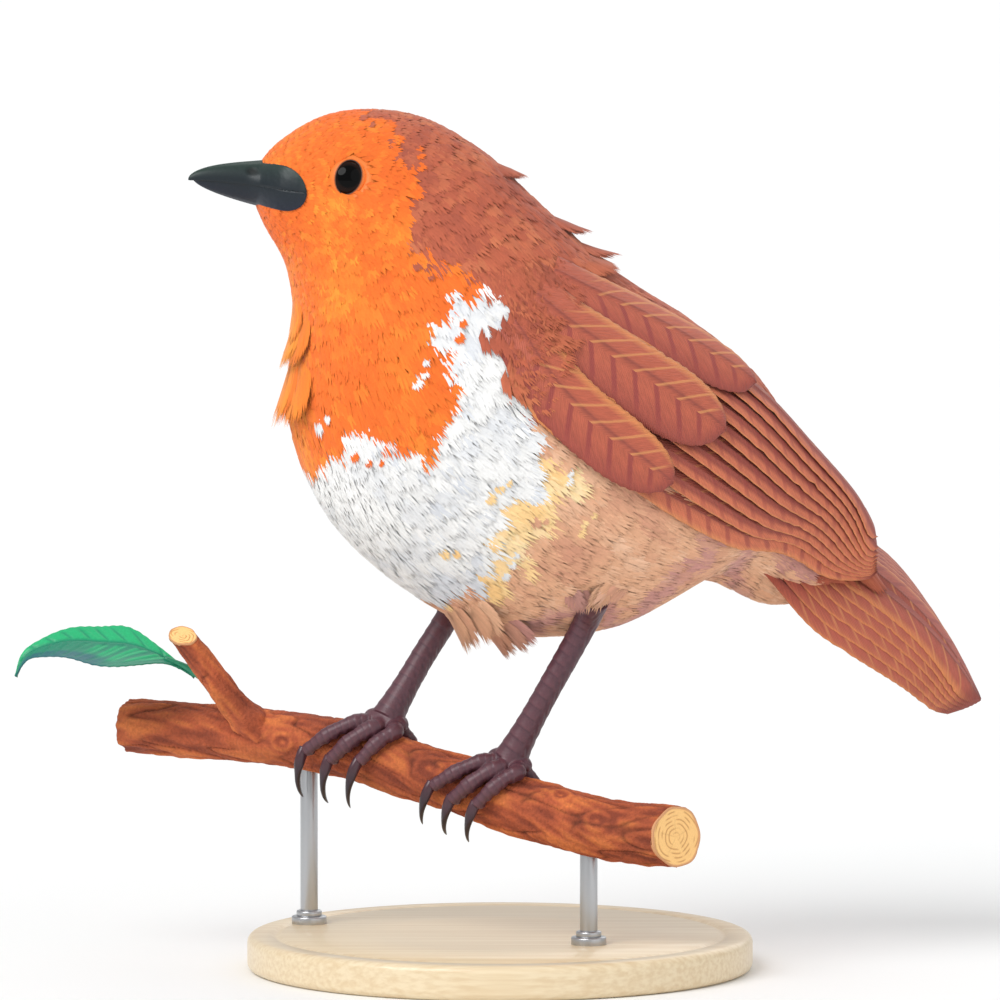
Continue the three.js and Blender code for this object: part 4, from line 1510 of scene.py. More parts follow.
class VaneMaker:
    """Makes vaned feathers as closed cupped blades with a raised shaft."""

    top = np.array([-1, -0.86, -0.6, -0.3, -0.09, 0, 0.09, 0.3, 0.6, 0.86, 1])

    def __init__(self, surface: Surface, rows: int, seed: int) -> None:
        """Keep what the feathers lie on.

        Args:
            surface: What the feathers lie on.
            rows: Rows of points along a feather.
            seed: Number that fixes the small irregularities.
        """
        self.surface = surface
        self.rows = rows
        self.chance = np.random.default_rng(seed)

    def slopes(self, first: np.ndarray, second: np.ndarray) -> tuple[np.ndarray, ...]:
        """Look at the surface along a feather's shaft.

        Args:
            first: The surface's first parameter along the shaft.
            second: Its second parameter.

        Returns:
            The shaft's places, how places move with each parameter, and the way across the feather.
        """
        zero, tiny = np.zeros_like(first), 1e-3
        spine = self.surface(first, second, zero)
        ahead = (self.surface(first + tiny, second, zero) - self.surface(first - tiny, second, zero)) / (2 * tiny)
        aside = (self.surface(first, second + tiny, zero) - self.surface(first, second - tiny, zero)) / (2 * tiny)
        normal = unit(np.cross(ahead, aside))
        outer = self.surface(first, second, zero + 1.0) - spine
        normal *= np.sign((normal * outer).sum(-1, keepdims=True))
        side = unit(np.cross(normal, np.gradient(spine, axis=0)))
        side *= np.sign((side * aside).sum(-1, keepdims=True))
        return spine, ahead, aside, side

    def widths(self, quill: Quill, share: np.ndarray, across: np.ndarray, rise: np.ndarray) -> np.ndarray:
        """Give how far each point lies from the shaft: a rounded outline with split and frayed edges.

        Args:
            quill: The feather.
            share: Place along it of each row.
            across: Place across it of each point of a row.
            rise: Share of its width that each row has.

        Returns:
            Millimetres to the side, by row and point.
        """
        end = np.clip((share - 1 + quill.blunt) / quill.blunt, 0, 1)
        half = quill.half * rise * (1 - quill.slim * share) * np.sqrt(np.maximum(1 - end ** 2.2, 0.0016))
        barbs = 1 - 0.035 * (np.arange(self.rows) % 2) * ease(0.1, 0.3, share)
        split = np.ones((self.rows, 2))
        for edge in (0, 1):
            for spot in self.chance.uniform(0.35, 0.97, 2):
                split[:, edge] -= 0.11 * np.exp(-((share - spot) / 0.012) ** 2) * self.chance.uniform(0.3, 1)
        edge_cut = np.where(across[None] < -0.8, split[:, :1], np.where(across[None] > 0.8, split[:, 1:], 1.0))
        fringe = np.where(np.abs(across[None]) > 0.95, barbs[:, None], 1.0)
        wide = across[None] * half[:, None] * edge_cut * fringe
        return wide + quill.shaft_side * half[:, None] * (np.abs(across[None]) - 1)

    def heights(self, quill: Quill, share: np.ndarray, across: np.ndarray, rise: np.ndarray,
                over: np.ndarray) -> np.ndarray:
        """Give each point's height over the surface: cupped, waved a little, with a raised shaft.

        Args:
            quill: The feather.
            share: Place along it of each row.
            across: Place across it of each point of a row.
            rise: Share of its width that each row has.
            over: 1 on its upper side and 0 beneath.

        Returns:
            Millimetres, by row and point.
        """
        thick = 0.07 + 0.10 * (1 - across ** 2)[None] * (1 - 0.5 * share[:, None])
        shaft = 0.20 * np.exp(-(across / 0.07) ** 2)[None] * (1 - 0.75 * share[:, None])
        level = quill.height[0] + (quill.height[1] - quill.height[0]) * share ** 0.6
        waves = 0.012 * np.sin(share[:, None] * 23 + across[None] * 2.0 + self.chance.uniform(0, 6))
        cup = -quill.cup * quill.half * across[None] ** 2 * rise[:, None]
        height = level[:, None] + quill.tilt * across[None] + cup + waves * np.abs(across[None])
        return height + over[None] * shaft - (1 - over[None]) * thick

    def maps(self, faces: np.ndarray, wide: np.ndarray, lengths: np.ndarray, cell: int,
             cells: int) -> dict[str, np.ndarray]:
        """Lay a feather out flat.

        Args:
            faces: Its faces.
            wide: How far each point lies from the shaft.
            lengths: How far along the shaft each row lies.
            cell: Its number among the feathers of the piece.
            cells: How many cells a side the bake map is divided in.

        Returns:
            For each face corner a place in its cell of the bake map, and its millimetres across and along.
        """
        around = wide.shape[1]
        ring = np.concatenate([np.arange(self.rows * around), [-1, -2]])
        place_round = (ring % around)[faces].astype(float)
        place_round[(place_round == 0) & (place_round.max(axis=1, keepdims=True) > around * 0.75)] = around
        row_of = (ring // around)[faces].astype(float)
        hub = faces >= self.rows * around
        place_round[hub] = around / 2 - 0.5
        row_of[hub] = np.where(faces[hub] == self.rows * around, 0, self.rows - 1)
        column, line = cell % cells, cell // cells
        bake = np.stack([(column + 0.04 + 0.92 * place_round / around) / cells,
                         (line + 0.04 + 0.92 * row_of / (self.rows - 1)) / cells], axis=-1)
        flat = np.stack([np.append(wide.ravel(), [0, 0])[faces],
                         np.append(np.repeat(lengths, around), [0, lengths[-1]])[faces]], axis=-1)
        return {BAKE_MAP: bake.reshape(-1, 2), PATTERN_MAP: flat.reshape(-1, 2)}

    def shell(self, quill: Quill, cell: int, cells: int) -> Shell:
        """Make one feather.

        Args:
            quill: Its place and size.
            cell: Its number among the feathers of the piece.
            cells: How many cells a side the bake map is divided in.

        Returns:
            The feather in the model's frame.
        """
        share = np.linspace(0, 1, self.rows) ** 0.94
        first, second = (quill.root[k] + (quill.tip[k] - quill.root[k]) * share for k in (0, 1))
        second = second + quill.bend * np.sin(math.pi * share)
        spine, ahead, aside, side = self.slopes(first, second)
        across = np.concatenate([self.top, self.top[::-1]])
        over = np.repeat([1.0, 0.0], len(self.top))
        rise = np.minimum(1, quill.narrow_root + (1 - quill.narrow_root) * ease(0, 0.35, share))
        wide = self.widths(quill, share, across, rise)
        height = self.heights(quill, share, across, rise, over)
        step = side[:, None] * wide[..., None]
        pull_a, pull_b = (step * ahead[:, None]).sum(-1), (step * aside[:, None]).sum(-1)
        aa, ab, bb = ((one * two).sum(-1)[:, None] for one, two in ((ahead, ahead), (ahead, aside), (aside, aside)))
        grid = np.maximum(aa * bb - ab * ab, 1e-9)
        points = self.surface(first[:, None] + (pull_a * bb - pull_b * ab) / grid,
                              second[:, None] + (pull_b * aa - pull_a * ab) / grid, height)
        made = Shell.closed(points, self.tones(quill, share, across, over))
        made.maps = self.maps(made.faces, wide, distances(spine), cell, cells)
        made.points = to_model(made.points)
        return made

    def tones(self, quill: Quill, share: np.ndarray, across: np.ndarray, over: np.ndarray) -> np.ndarray:
        """Colour a feather: painted shadow beside the edge of the feather over it, a darker shaft, a paler exposed
        edge that is partly its own and partly a painted highlight, darker tips on barred feathers and an underside
        darkened as painted shade.

        Args:
            quill: The feather.
            share: Place along it of each row.
            across: Place across it of each point of a row.
            over: 1 on its upper side and 0 beneath.

        Returns:
            Linear red, green and blue for each point and the two end points.
        """
        base, dark, pale, shaft = (linear(code) for code in quill.shades)
        light = self.chance.normal(0, 0.2)
        # Painted shadow: the visible web is darkened beside the edge of the feather that lies over it.
        place = np.clip((across * quill.pale_side - quill.hidden) / (1 - quill.hidden), 0, 1)
        painted_shade = np.clip(ease(0.38, 0.02, place) * 0.9 + 0.2 * light, 0, 1)[None, :, None]
        colour = base + (dark - base) * painted_shade * np.ones((len(share), 1, 1))
        # Paler exposed edge: partly the feather's own pale edge, partly a painted highlight.
        rim = (ease(0.80, 0.97, place)[None] * ease(0.05, 0.3, share)[:, None])[..., None]
        colour = colour + (pale - colour) * rim * 0.95
        end = ease(0.90, 0.985, share)[:, None, None] * (quill.bars > 0.5)
        colour = colour + (dark - colour) * end * 0.9
        line = np.exp(-(across / 0.075) ** 2)[None, :, None] * (0.85 if quill.hidden < 0 else 0.4)
        colour = colour + (shaft - colour) * line
        # Painted shade: the underside is darkened by a quarter.
        colour = colour * (1 - 0.25 * (1 - over)[None, :, None])
        fade = (ease(0.95, 0.75, np.abs(across))[None] * ease(0.12, 0.25, share)[:, None]
                * ease(0.97, 0.88, share)[:, None])[..., None]
        flat = np.concatenate([colour, quill.bars * fade * np.ones_like(colour[..., :1])], axis=-1).reshape(-1, 4)
        return np.concatenate([flat, flat[:1], flat[-1:]])


# The folded wing lies on the body's sections as far as the keel, then on these, down to its tip.
WING_TABLE = BODY_TABLE[:8] + [
    (34.7, 84.7, -3.5, 48.1, 20.2), (42.6, 75.5, 12.3, 48.4, 16.0), (48.1, 68.4, 26.8, 54.0, 11.2),
    (51.4, 63.2, 38.4, 51.6, 7.2), (53.4, 58.6, 49.4, 53.8, 3.6),
]
WING = Form(WING_TABLE)


@dataclass
class Wing:
    """One folded wing: flight feathers, three big rows of coverts and the shoulder's small feathers."""

    side: int
    flight: int = 10
    clearance: float = 0.5
    flight_shades: tuple[str, str, str, str] = ("cf704e", "9a463a", "e3925a", "8a3d33")
    lobe_shades: tuple[str, str, str, str] = ("b95b41", "9c4438", "dc8a50", "8c4034")

    def surface(self, section: np.ndarray, share: np.ndarray, height: np.ndarray) -> np.ndarray:
        """Give places on the wing: section, share from its upper to its lower edge, height.

        Args:
            section: Section numbers.
            share: 0 at the upper edge and 1 at the lower.
            height: Heights over the wing.

        Returns:
            Places in the bird's frame.
        """
        window = np.linspace(-0.9, 0.9, 25)
        upper, lower = (sum(np.interp(section + step, WING_EDGE_SECTIONS, edge) for step in window) / len(window)
                        for edge in (WING_EDGE_UPPER, WING_EDGE_LOWER))
        angle = np.radians(upper + (lower - upper) * share) * self.side
        return WING.point(section, angle, height + self.clearance)

    def flight_quills(self) -> list[Quill]:
        """Set out secondaries and primaries, each lying under the one above it.

        Returns:
            The feathers, the lowest on the wing first.
        """
        quills = []
        for share in np.linspace(0, 1, self.flight):
            last = share > 0.99
            root = (6.6, 0.06 + 0.86 * share)
            tip = (11.25 + 0.75 * share ** 0.5, 0.10 + 0.76 * share)
            half = 2.9 - 0.7 * share + (0.8 if last else 0)
            level = 0.2 + 0.7 * (1 - share)
            quills.append(Quill(root, tip, half, (-0.7, level), 0.62, 0.03, 0.10, shades=self.flight_shades,
                                hidden=-0.25 if last else 0.30, bars=0.7 if last else 0.5, cup=0.04, slim=0.35))
        return quills[::-1]

    def covert_quills(self) -> list[Quill]:
        """Set out the coverts: a hidden short row, and three broad ones that lie lower over upper.

        Returns:
            The feathers.
        """
        quills = []
        for share in np.linspace(0.02, 0.98, 9):
            quills.append(Quill((5.9, 0.04 + 0.86 * share), (7.25, 0.05 + 0.88 * share), 2.7,
                                (-0.2, 0.45), 0.3, 0.0, 0.3, shades=self.lobe_shades, cup=0.03))
        for root, tip, half, lift in (
            ((5.45, 0.0), (7.86, 0.165), 4.9, 1.9),
            ((5.40, 0.38), (7.88, 0.54), 5.7, 2.2),
            ((5.45, 0.72), (7.82, 0.89), 4.6, 2.4),
        ):
            # Each lobe's pale edge goes on its upper edge: a painted highlight where light catches it.
            quills.append(Quill(root, tip, half, (-0.3, lift), -0.30, 0.03, 0.36, 0.8, shades=self.lobe_shades,
                                shaft_side=0.16, pale_side=-1, bars=1.0))
        return quills

    def shoulder(self) -> Shell:
        """Cover the shoulder and the covert roots with small overlapping feathers.

        Returns:
            The feathers as one mesh.
        """
        chance = np.random.default_rng(61)
        rows = []
        for row, section in enumerate(np.arange(4.95, 6.2, 0.105)):
            low, high = (-0.16, 1.04) if section < 5.7 else (-0.12, 1.0)
            ring = np.linspace(low, high, 60)
            spots = self.surface(np.full(60, section), ring, np.zeros(60))
            lengths = distances(spots)
            count = int(lengths[-1] / 1.5)
            along = (np.arange(count) + 0.5 * (row % 2) + chance.normal(0, 0.15, count)) / count * lengths[-1]
            share = np.interp(along, lengths, ring)
            upper, lower = (np.interp(section, WING_EDGE_SECTIONS, edge)
                            for edge in (WING_EDGE_UPPER, WING_EDGE_LOWER))
            angle = np.radians(upper + (lower - upper) * share) * self.side
            rows.append(np.stack([section + chance.normal(0, 0.02, count), angle, share], axis=-1))
        section, angle, share = np.concatenate(rows).T
        end = np.interp(share, (0, 0.14, 0.36, 0.46, 0.72, 0.82, 0.92), (5.5, 5.62, 5.52, 5.8, 5.98, 6.08, 6.0))
        section, angle, share = (values[section < end] for values in (section, angle, share))
        brown = marking(WING.point(section + 0.3, angle, 0.0)) == Marking.BROWN.value
        section, angle, share = (values[brown] for values in (section, angle, share))
        count = len(section)
        bulge = np.clip(np.sin(math.pi * np.clip(share, 0.04, 0.96)), 0.3, 1) ** 0.5
        rise = 0.35 + 1.75 * ease(4.9, 5.9, section) * bulge
        size = 1 + chance.normal(0, 0.08, count)
        roots = Roots(section, angle, 5.0 * size, 1.75 * size, 0.16 * self.side + chance.normal(0, 0.08, count),
                      rise, 0.25 - 0.9 * rise)
        tones = plumage_tone(WING.point(section + 0.3, angle, 0.0), np.full(count, Marking.BROWN.value), chance)
        map_place = np.stack([(angle / TURN) % 1, section / WING.last], axis=-1)
        return Tufts(WING, 23, 2.3, 70).shell(roots, tones, map_place)

    def build(self) -> list[bpy.types.Object]:
        """Make the wing in three pieces.

        Returns:
            The pieces.
        """
        name = "left" if self.side < 0 else "right"
        maker = VaneMaker(self.surface, 46, 80)
        made = []
        for part, quills in (("flight", self.flight_quills()), ("coverts", self.covert_quills())):
            shells = [maker.shell(quill, number, 4) for number, quill in enumerate(quills)]
            made.append(Shell.joined(shells).piece(f"wing_{name}_{part}", QUILLS))
        place(made[0], "plumage_brown", f"wing_{name}")
        place(made[1], "plumage_brown")
        made.append(place(self.shoulder().piece(f"wing_{name}_shoulder", PLUMAGE), "plumage_brown"))
        return made


@dataclass
class Tail:
    """Twelve tail feathers in a shallow roof, rolled so that its upper side shows on the left."""

    root: tuple[float, float] = (38.9, 63.3)
    tip: tuple[float, float] = (67.0, 36.2)
    half: tuple[float, float, float] = (12.0, 4.5, 6.0)
    bow: float = 2.5
    drop: tuple[float, float] = (2.0, 2.8)
    corner: float = 3.6
    roll: float = -math.radians(35)
    pairs: int = 6
    shades: tuple[str, str, str, str] = ("b05440", "88392f", "d5834c", "78332b")

    def surface(self, along: np.ndarray, share: np.ndarray, height: np.ndarray) -> np.ndarray:
        """Give places on the tail: share of its length, share from its middle to an edge, height.

        Args:
            along: 0 at the root and 1 at the tip.
            share: 0 in the middle, -1 and 1 at the edges.
            height: Heights over the tail.

        Returns:
            Places in the bird's frame.
        """
        root, tip = (np.array([end[0], 0, end[1]]) for end in (self.root, self.tip))
        way = unit(tip - root)
        up = np.array([-way[2], 0.0, way[0]])
        across = np.array([0.0, 1.0, 0.0])
        bowed = up * (self.bow * np.sin(math.pi * np.clip(along, 0, 1) ** 1.35))[..., None]
        cosine, sine = math.cos(self.roll), math.sin(self.roll)
        up, across = up * cosine - np.cross(way, up) * sine, across * cosine - np.cross(way, across) * sine
        reach = np.linalg.norm(tip - root) - self.corner * np.abs(share) ** 2.4 * along
        bulge = self.half[2] * np.sin(math.pi * np.clip(along, 0, 1) ** 1.1)
        half = self.half[0] + (self.half[1] - self.half[0]) * along + bulge
        drop = (self.drop[0] + (self.drop[1] - self.drop[0]) * along) * share ** 2
        return (root + bowed + way * (along * reach)[..., None] + across * (half * share)[..., None]
                + up * (height - drop)[..., None])

    def build(self) -> bpy.types.Object:
        """Make the tail feathers as one piece, the middle pair on top.

        Returns:
            The piece.
        """
        maker = VaneMaker(self.surface, 50, 90)
        quills = []
        for order in range(self.pairs - 1, -1, -1):
            out = order / (self.pairs - 1)
            for side in (1, -1):
                left = side < 0
                level = 0.75 - 1.5 * out + (0.12 if left else 0)
                start = side * (0.14 + 0.62 * out) * (1.12 if left else 1.0)
                end = side * (0.07 + 0.66 * out) * (0.72 if left else 1.0)
                quills.append(Quill((0.0, start), (1.0 - 0.02 * out, end), 3.7 - 0.5 * out, (level, level),
                                    0.2 * side, -0.08 * out * left, 0.16, 0.35, shades=self.shades,
                                    hidden=0.05 if order else -0.6, pale_side=side, bars=0.75))
        shells = [maker.shell(quill, number, 4) for number, quill in enumerate(quills)]
        return place(Shell.joined(shells).piece("tail_feathers", QUILLS), "plumage_brown", "tail")


# ---- Bill and eyes ------------------------------------------------------------------------------------------


@dataclass
class Bill:
    """Both halves of the bill, closed, with nostrils, a culmen ridge and a sheath over the face's sides."""

    root: tuple[float, float] = (-32.4, 111.9)
    tip: tuple[float, float] = (-47.9, 114.1)
    half: float = 3.3
    upper_depth: float = 4.0
    lower_depth: float = 3.45
    hook: float = 0.7
    # How far the upper half laps over the lower one.
    lap: float = 0.10
    # Share of the length in which the base rounds off, and the sheath's height over the face.
    back: float = 0.24
    sheath: float = 0.35
    rings: int = 96
    # Place along and on the arc, reach along and on the arc.
    nostril: tuple[float, float, float, float] = (0.43, 0.66, 0.024, 0.22)

    @staticmethod
    def face_width(x: np.ndarray, z: np.ndarray) -> np.ndarray:
        """Give how far the face reaches to each side of places in the bird's middle plane.

        Args:
            x: x of each place.
            z: z of each place.

        Returns:
            Millimetres for each.
        """
        section, angle = np.meshgrid(np.linspace(0, 2.4, 130), np.linspace(0, math.pi, 110), indexing="ij")
        face = BODY.point(section.ravel(), angle.ravel(), 0.0)
        wide = np.empty_like(x)
        for row in range(len(x)):
            away = (face[:, 0] - x[row, :, None]) ** 2 + (face[:, 2] - z[row, :, None]) ** 2
            wide[row] = face[away.argmin(axis=1), 1]
        return wide

    def mandible(self, up: int) -> Shell:
        """Model one half.

        Args:
            up: 1 for the upper half, -1 for the lower.

        Returns:
            The half, closed along its cutting edges.
        """
        share = 1 - (1 - np.linspace(0, 1, self.rings)) ** 1.35
        end = 1.0 if up > 0 else 0.965
        centre_x = self.root[0] + (self.tip[0] - self.root[0]) * share * end
        centre_z = self.root[1] + (self.tip[1] - self.root[1]) * share * end - self.hook * share ** 5 * (up > 0)
        centre_z = centre_z - (0.22 if up > 0 else 0.10) * np.sin(math.pi * share) - up * self.lap * 0.4
        depth = (self.upper_depth if up > 0 else self.lower_depth) * (1 - share) ** (0.52 if up > 0 else 0.44) + 0.17
        depth = depth * np.sqrt(np.clip(1 - (1 - np.minimum(share / self.back, 1)) ** 2, 0.01, 1))
        half = (self.half - (0 if up > 0 else self.lap)) * (1 - share) ** 0.74 + 0.13
        arc = np.linspace(0, math.pi, 33)
        ridge = np.sin(arc) ** (0.86 if up > 0 else 0.95)
        ridge = ridge + 0.05 * np.exp(-((arc - math.pi / 2) / 0.12) ** 2)
        under = np.linspace(-0.86, 0.86, 9)
        y = np.concatenate([np.cos(arc) * (1 - 0.06 * np.sin(arc)), under])
        z = np.append(ridge, -0.06 + 0.0 * under)
        points = np.zeros((self.rings, len(y), 3))
        points[..., 0] = centre_x[:, None]
        points[..., 1] = half[:, None] * y
        points[..., 2] = centre_z[:, None] + up * depth[:, None] * z
        # The sheath's base lies over the sides of the face and ends round.
        wide = self.face_width(points[..., 0], points[..., 2]) + self.sheath
        wide = wide * ease(-41.5, -37.6, points[..., 0]) * np.minimum(1, np.abs(y) / 0.3)
        points[:, :len(arc), 1] = (np.sign(points[..., 1]) * (points[..., 1] ** 4 + wide ** 4) ** 0.25)[:, :len(arc)]
        tones = np.ones((self.rings, len(y), 1)) * linear("111c23")
        # Painted light: the upper half lightens toward the culmen as a painted highlight, and the lower half turns
        # deep blue-black toward its underside as painted shade.
        high = np.clip(np.append(np.sin(arc), 0 * under), 0, 1)[None, :, None]
        light = linear("273c33") if up > 0 else linear("131a2e")
        tones = blend(tones, light, high ** (2.0 if up > 0 else 1.2) * 0.85)
        if up > 0:
            along, side, long_reach, arc_reach = self.nostril
            for place_on_arc in (side, math.pi - side):
                away = ((share[:, None] - along) / (long_reach * 2.2)) ** 2
                away = away + ((np.append(arc, 9.0 + 0 * under)[None] - place_on_arc) / arc_reach) ** 2
                pit = np.exp(-away ** 2)
                points[..., 1] -= np.sign(points[..., 1]) * 0.16 * pit
                points[..., 2] -= 0.08 * pit
                # Painted shade: the nostril pits are darkened as if shadowed inside.
                tones = tones * (1 - 0.75 * pit[..., None])
        return Shell.closed(to_model(points), np.concatenate([tones.reshape(-1, 3), tones[0, :1], tones[-1, :1]]))

    def build(self) -> None:
        """Make both halves."""
        place(self.mandible(1).piece("bill_upper_horn", HORN), "horn", "bill_upper")
        place(self.mandible(-1).piece("bill_lower_horn", HORN), "horn", "bill_lower")


@dataclass
class Eye:
    """One eye: a glossy ball with a fuller cornea, sunk behind a ring of bare lid skin."""

    side: int
    cornea: float = 0.10
    # Half width and half height of the opening between the lids, and how far it leans back.
    opening: tuple[float, float] = (math.radians(30), math.radians(46))
    lean: float = math.radians(16)
    # Angle from the axis at which the lids' outer edge lies.
    seat: float = math.radians(74)
    # Edges, in degrees from the axis, of the cornea, the pupil and the ball's dark rim.
    edges: tuple[tuple[float, float], ...] = ((46, 30), (27, 31), (40, 50))

    @property
    def name(self) -> str:
        """Name the side."""
        return "left" if self.side < 0 else "right"

    @property
    def centre(self) -> np.ndarray:
        """Give the middle of the ball, in the bird's frame."""
        return np.array([1.0, self.side, 1.0]) * EYE_CENTRE

    def axis(self) -> np.ndarray:
        """Give the direction that the eye looks, in the bird's frame."""
        return unit(np.array([-0.18, self.side * 1.0, 0.24]))

    def ball(self) -> bpy.types.Object:
        """Model the ball from a sphere whose pole looks along the eye's axis.

        Returns:
            The ball.
        """
        centre, axis = to_model(self.centre), turned(self.axis())
        bpy.ops.object.select_all(action="DESELECT")
        tilt, swing = math.acos(axis[2]), math.atan2(axis[1], axis[0])
        bpy.ops.mesh.primitive_uv_sphere_add(segments=64, ring_count=48, radius=EYE_RADIUS * MM,
                                             location=tuple(centre * MM), rotation=(0, tilt, swing))
        ball = bpy.context.object
        ball.name = f"eyeball_{self.name}"
        bpy.ops.object.transform_apply(location=True, rotation=True, scale=True)
        bpy.ops.object.shade_smooth()
        ball.data.materials.append(EYE.material())
        away = read_points(ball) - centre
        turn = np.degrees(np.arccos(np.clip(unit(away) @ axis, -1, 1)))
        cornea, pupil, rim = (ease(*edge, turn)[:, None] for edge in self.edges)
        away = away * (1 + self.cornea / EYE_RADIUS * cornea)
        reshape(ball, away + centre, blend(linear("030303"), linear("1d0f0a"), pupil * (1 - 0.8 * rim)))
        return place(ball, "eye", f"eye_{self.name}")

    def lid(self) -> bpy.types.Object:
        """Model the lids as one ring of soft skin round the opening, with fine creases.

        Returns:
            The lids with the bare skin round them.
        """
        axis = self.axis()
        up = unit(UP - axis * axis[2])
        ahead = np.cross(up, axis) * self.side
        count, around = 120, 16
        turn = np.arange(count) * TURN / count
        wide, high = self.opening
        tilt = 1 / np.hypot(np.cos(turn - self.lean) / wide, np.sin(turn - self.lean) / high)
        ring = np.arange(around) * TURN / around
        crease = 0.05 * np.sin(ring * 3) * (0.6 + 0.4 * np.sin(turn[:, None] * 23))
        polar = tilt[:, None] + (self.seat - tilt[:, None]) * (0.5 - 0.5 * np.cos(ring))
        lift = 0.02 + (0.24 + crease) * np.clip(np.sin(ring), -0.6, 1) * (1 - 0.25 * (0.5 - 0.5 * np.cos(ring)))
        reach = EYE_RADIUS + lift
        flat = np.sin(polar) * reach
        points = (self.centre + axis * (np.cos(polar) * reach)[..., None]
                  + ahead * (flat * np.cos(turn)[:, None])[..., None]
                  + up * (flat * np.sin(turn)[:, None])[..., None])
        faces = lattice(count + 1, around, True) % (count * around)
        outer = (0.5 - 0.5 * np.cos(ring))[None, :, None] * np.ones((count, 1, 1))
        tones = blend(linear("1c0f0c"), linear("f27a28"), ease(0.03, 0.16, outer))
        points = to_model(points.reshape(-1, 3))
        made = Shell(points, outward(points, faces), tones.reshape(-1, 3))
        made = Shell.joined([made, self.orbit()])
        return place(made.piece(f"eyelid_{self.name}", LID), "plumage_orange")

    def orbit(self) -> Shell:
        """Model the bare skin between lids and feathers: a thin ring that follows the face.

        Returns:
            The ring.
        """
        section, angle = BODY.nearest(tuple(self.centre + self.axis() * EYE_RADIUS))
        along, around, normal = (way[0] for way in BODY.slopes(np.array([section]), np.array([angle])))
        ahead = unit(along)
        beside = np.cross(normal, ahead)
        count = 96
        turn = (np.arange(count) * TURN / count)[:, None, None]
        profile = ((2.42, -0.08), (3.0, -0.14), (4.4, -0.42), (4.4, -0.62), (3.0, -0.5), (2.42, -0.45))
        reach, height = np.array(profile).T
        step = reach[None, :, None] * (np.cos(turn) * ahead + np.sin(turn) * beside)
        moved = step @ np.linalg.pinv(np.stack([along, around]))
        points = BODY.point(section + moved[..., 0], angle + moved[..., 1], height)
        faces = lattice(count + 1, len(profile), True) % (count * len(profile))
        points = to_model(points.reshape(-1, 3))
        return Shell(points, outward(points, faces), np.tile(linear("f27a28"), (len(points), 1)))

    def build(self) -> None:
        """Make the ball and the lids."""
        self.ball()
        self.lid()


# ---- Perch --------------------------------------------------------------------------------------------------


class Bough:
    """A woody stem in the model's frame: its middle line and its radius along it."""

    def __init__(self, points: list[tuple[float, float, float]], radius: Callable[[np.ndarray], np.ndarray]) -> None:
        """Keep the line and the radius.

        Args:
            points: Places on the middle line.
            radius: Gives the radius for a share of the length.
        """
        self.line = Line(np.array(points))
        self.radius = radius
        self.end = self.line.at(np.array([self.line.length]))[0]

    def bark_point(self, distance: np.ndarray, angle: np.ndarray, height: np.ndarray) -> np.ndarray:
        """Give a place by the bark: distance along, angle from the top toward -y, height over the bark.

        Args:
            distance: Distances along the stem.
            angle: Angles round it.
            height: Heights over the bark.

        Returns:
            Places in the model's frame.
        """
        distance = np.asarray(distance, float)
        _, up, near = self.line.frames(distance)
        reach = (self.radius(distance / self.line.length) + height)[..., None]
        return self.line.at(distance) + reach * (up * np.cos(angle)[..., None] + near * np.sin(angle)[..., None])


# Steps at which a stem's radius is kept when points are sorted by stem.
STEM_STEPS = 90


def nearest_place(points: np.ndarray, stems: list[tuple[Line, np.ndarray]]) -> tuple[np.ndarray, ...]:
    """Find which stem each point belongs to, and where along and round it.

    Args:
        points: Places, in the same frame as the stems.
        stems: Each stem's line and its radius at equal steps.

    Returns:
        The stem's number, the distance along it and the angle round it from the top.
    """
    best = np.full(len(points), 1e9)
    which = np.zeros(len(points), int)
    along, angle = np.zeros(len(points)), np.zeros(len(points))
    for number, (line, radius) in enumerate(stems):
        distance = np.linspace(0, line.length, STEM_STEPS)
        spots = line.at(distance)
        away = np.linalg.norm(points[:, None] - spots[None], axis=-1)
        pick = away.argmin(axis=1)
        score = away[np.arange(len(points)), pick] / radius[pick]
        way, up, side = line.frames(distance)
        offset = points - spots[pick]
        found = score < best
        best = np.where(found, score, best)
        which[found] = number
        along[found] = (distance[pick] + (offset * way[pick]).sum(-1))[found]
        angle[found] = np.arctan2((offset * side[pick]).sum(-1), (offset * up[pick]).sum(-1))[found]
    return which, along, angle


BRANCH = Bough(
    [(-53.3, 26.5, 31.7), (-38.4, 17.9, 31.6), (-24.1, 9.7, 30.8), (-9.9, 1.5, 27.5), (4.3, -6.7, 23.7),
     (14.2, -12.4, 21.7), (24.8, -18.4, 21.2)],
    lambda share: 3.88 + 0.52 * share,
)
TWIG = Bough(
    [(-33.0, 13.4, 31.0), (-38.1, 13.0, 36.6), (-42.2, 12.2, 42.1), (-45.3, 11.4, 46.3)],
    lambda share: 2.6 - 0.85 * (1 - (1 - share) ** 2.2),
)


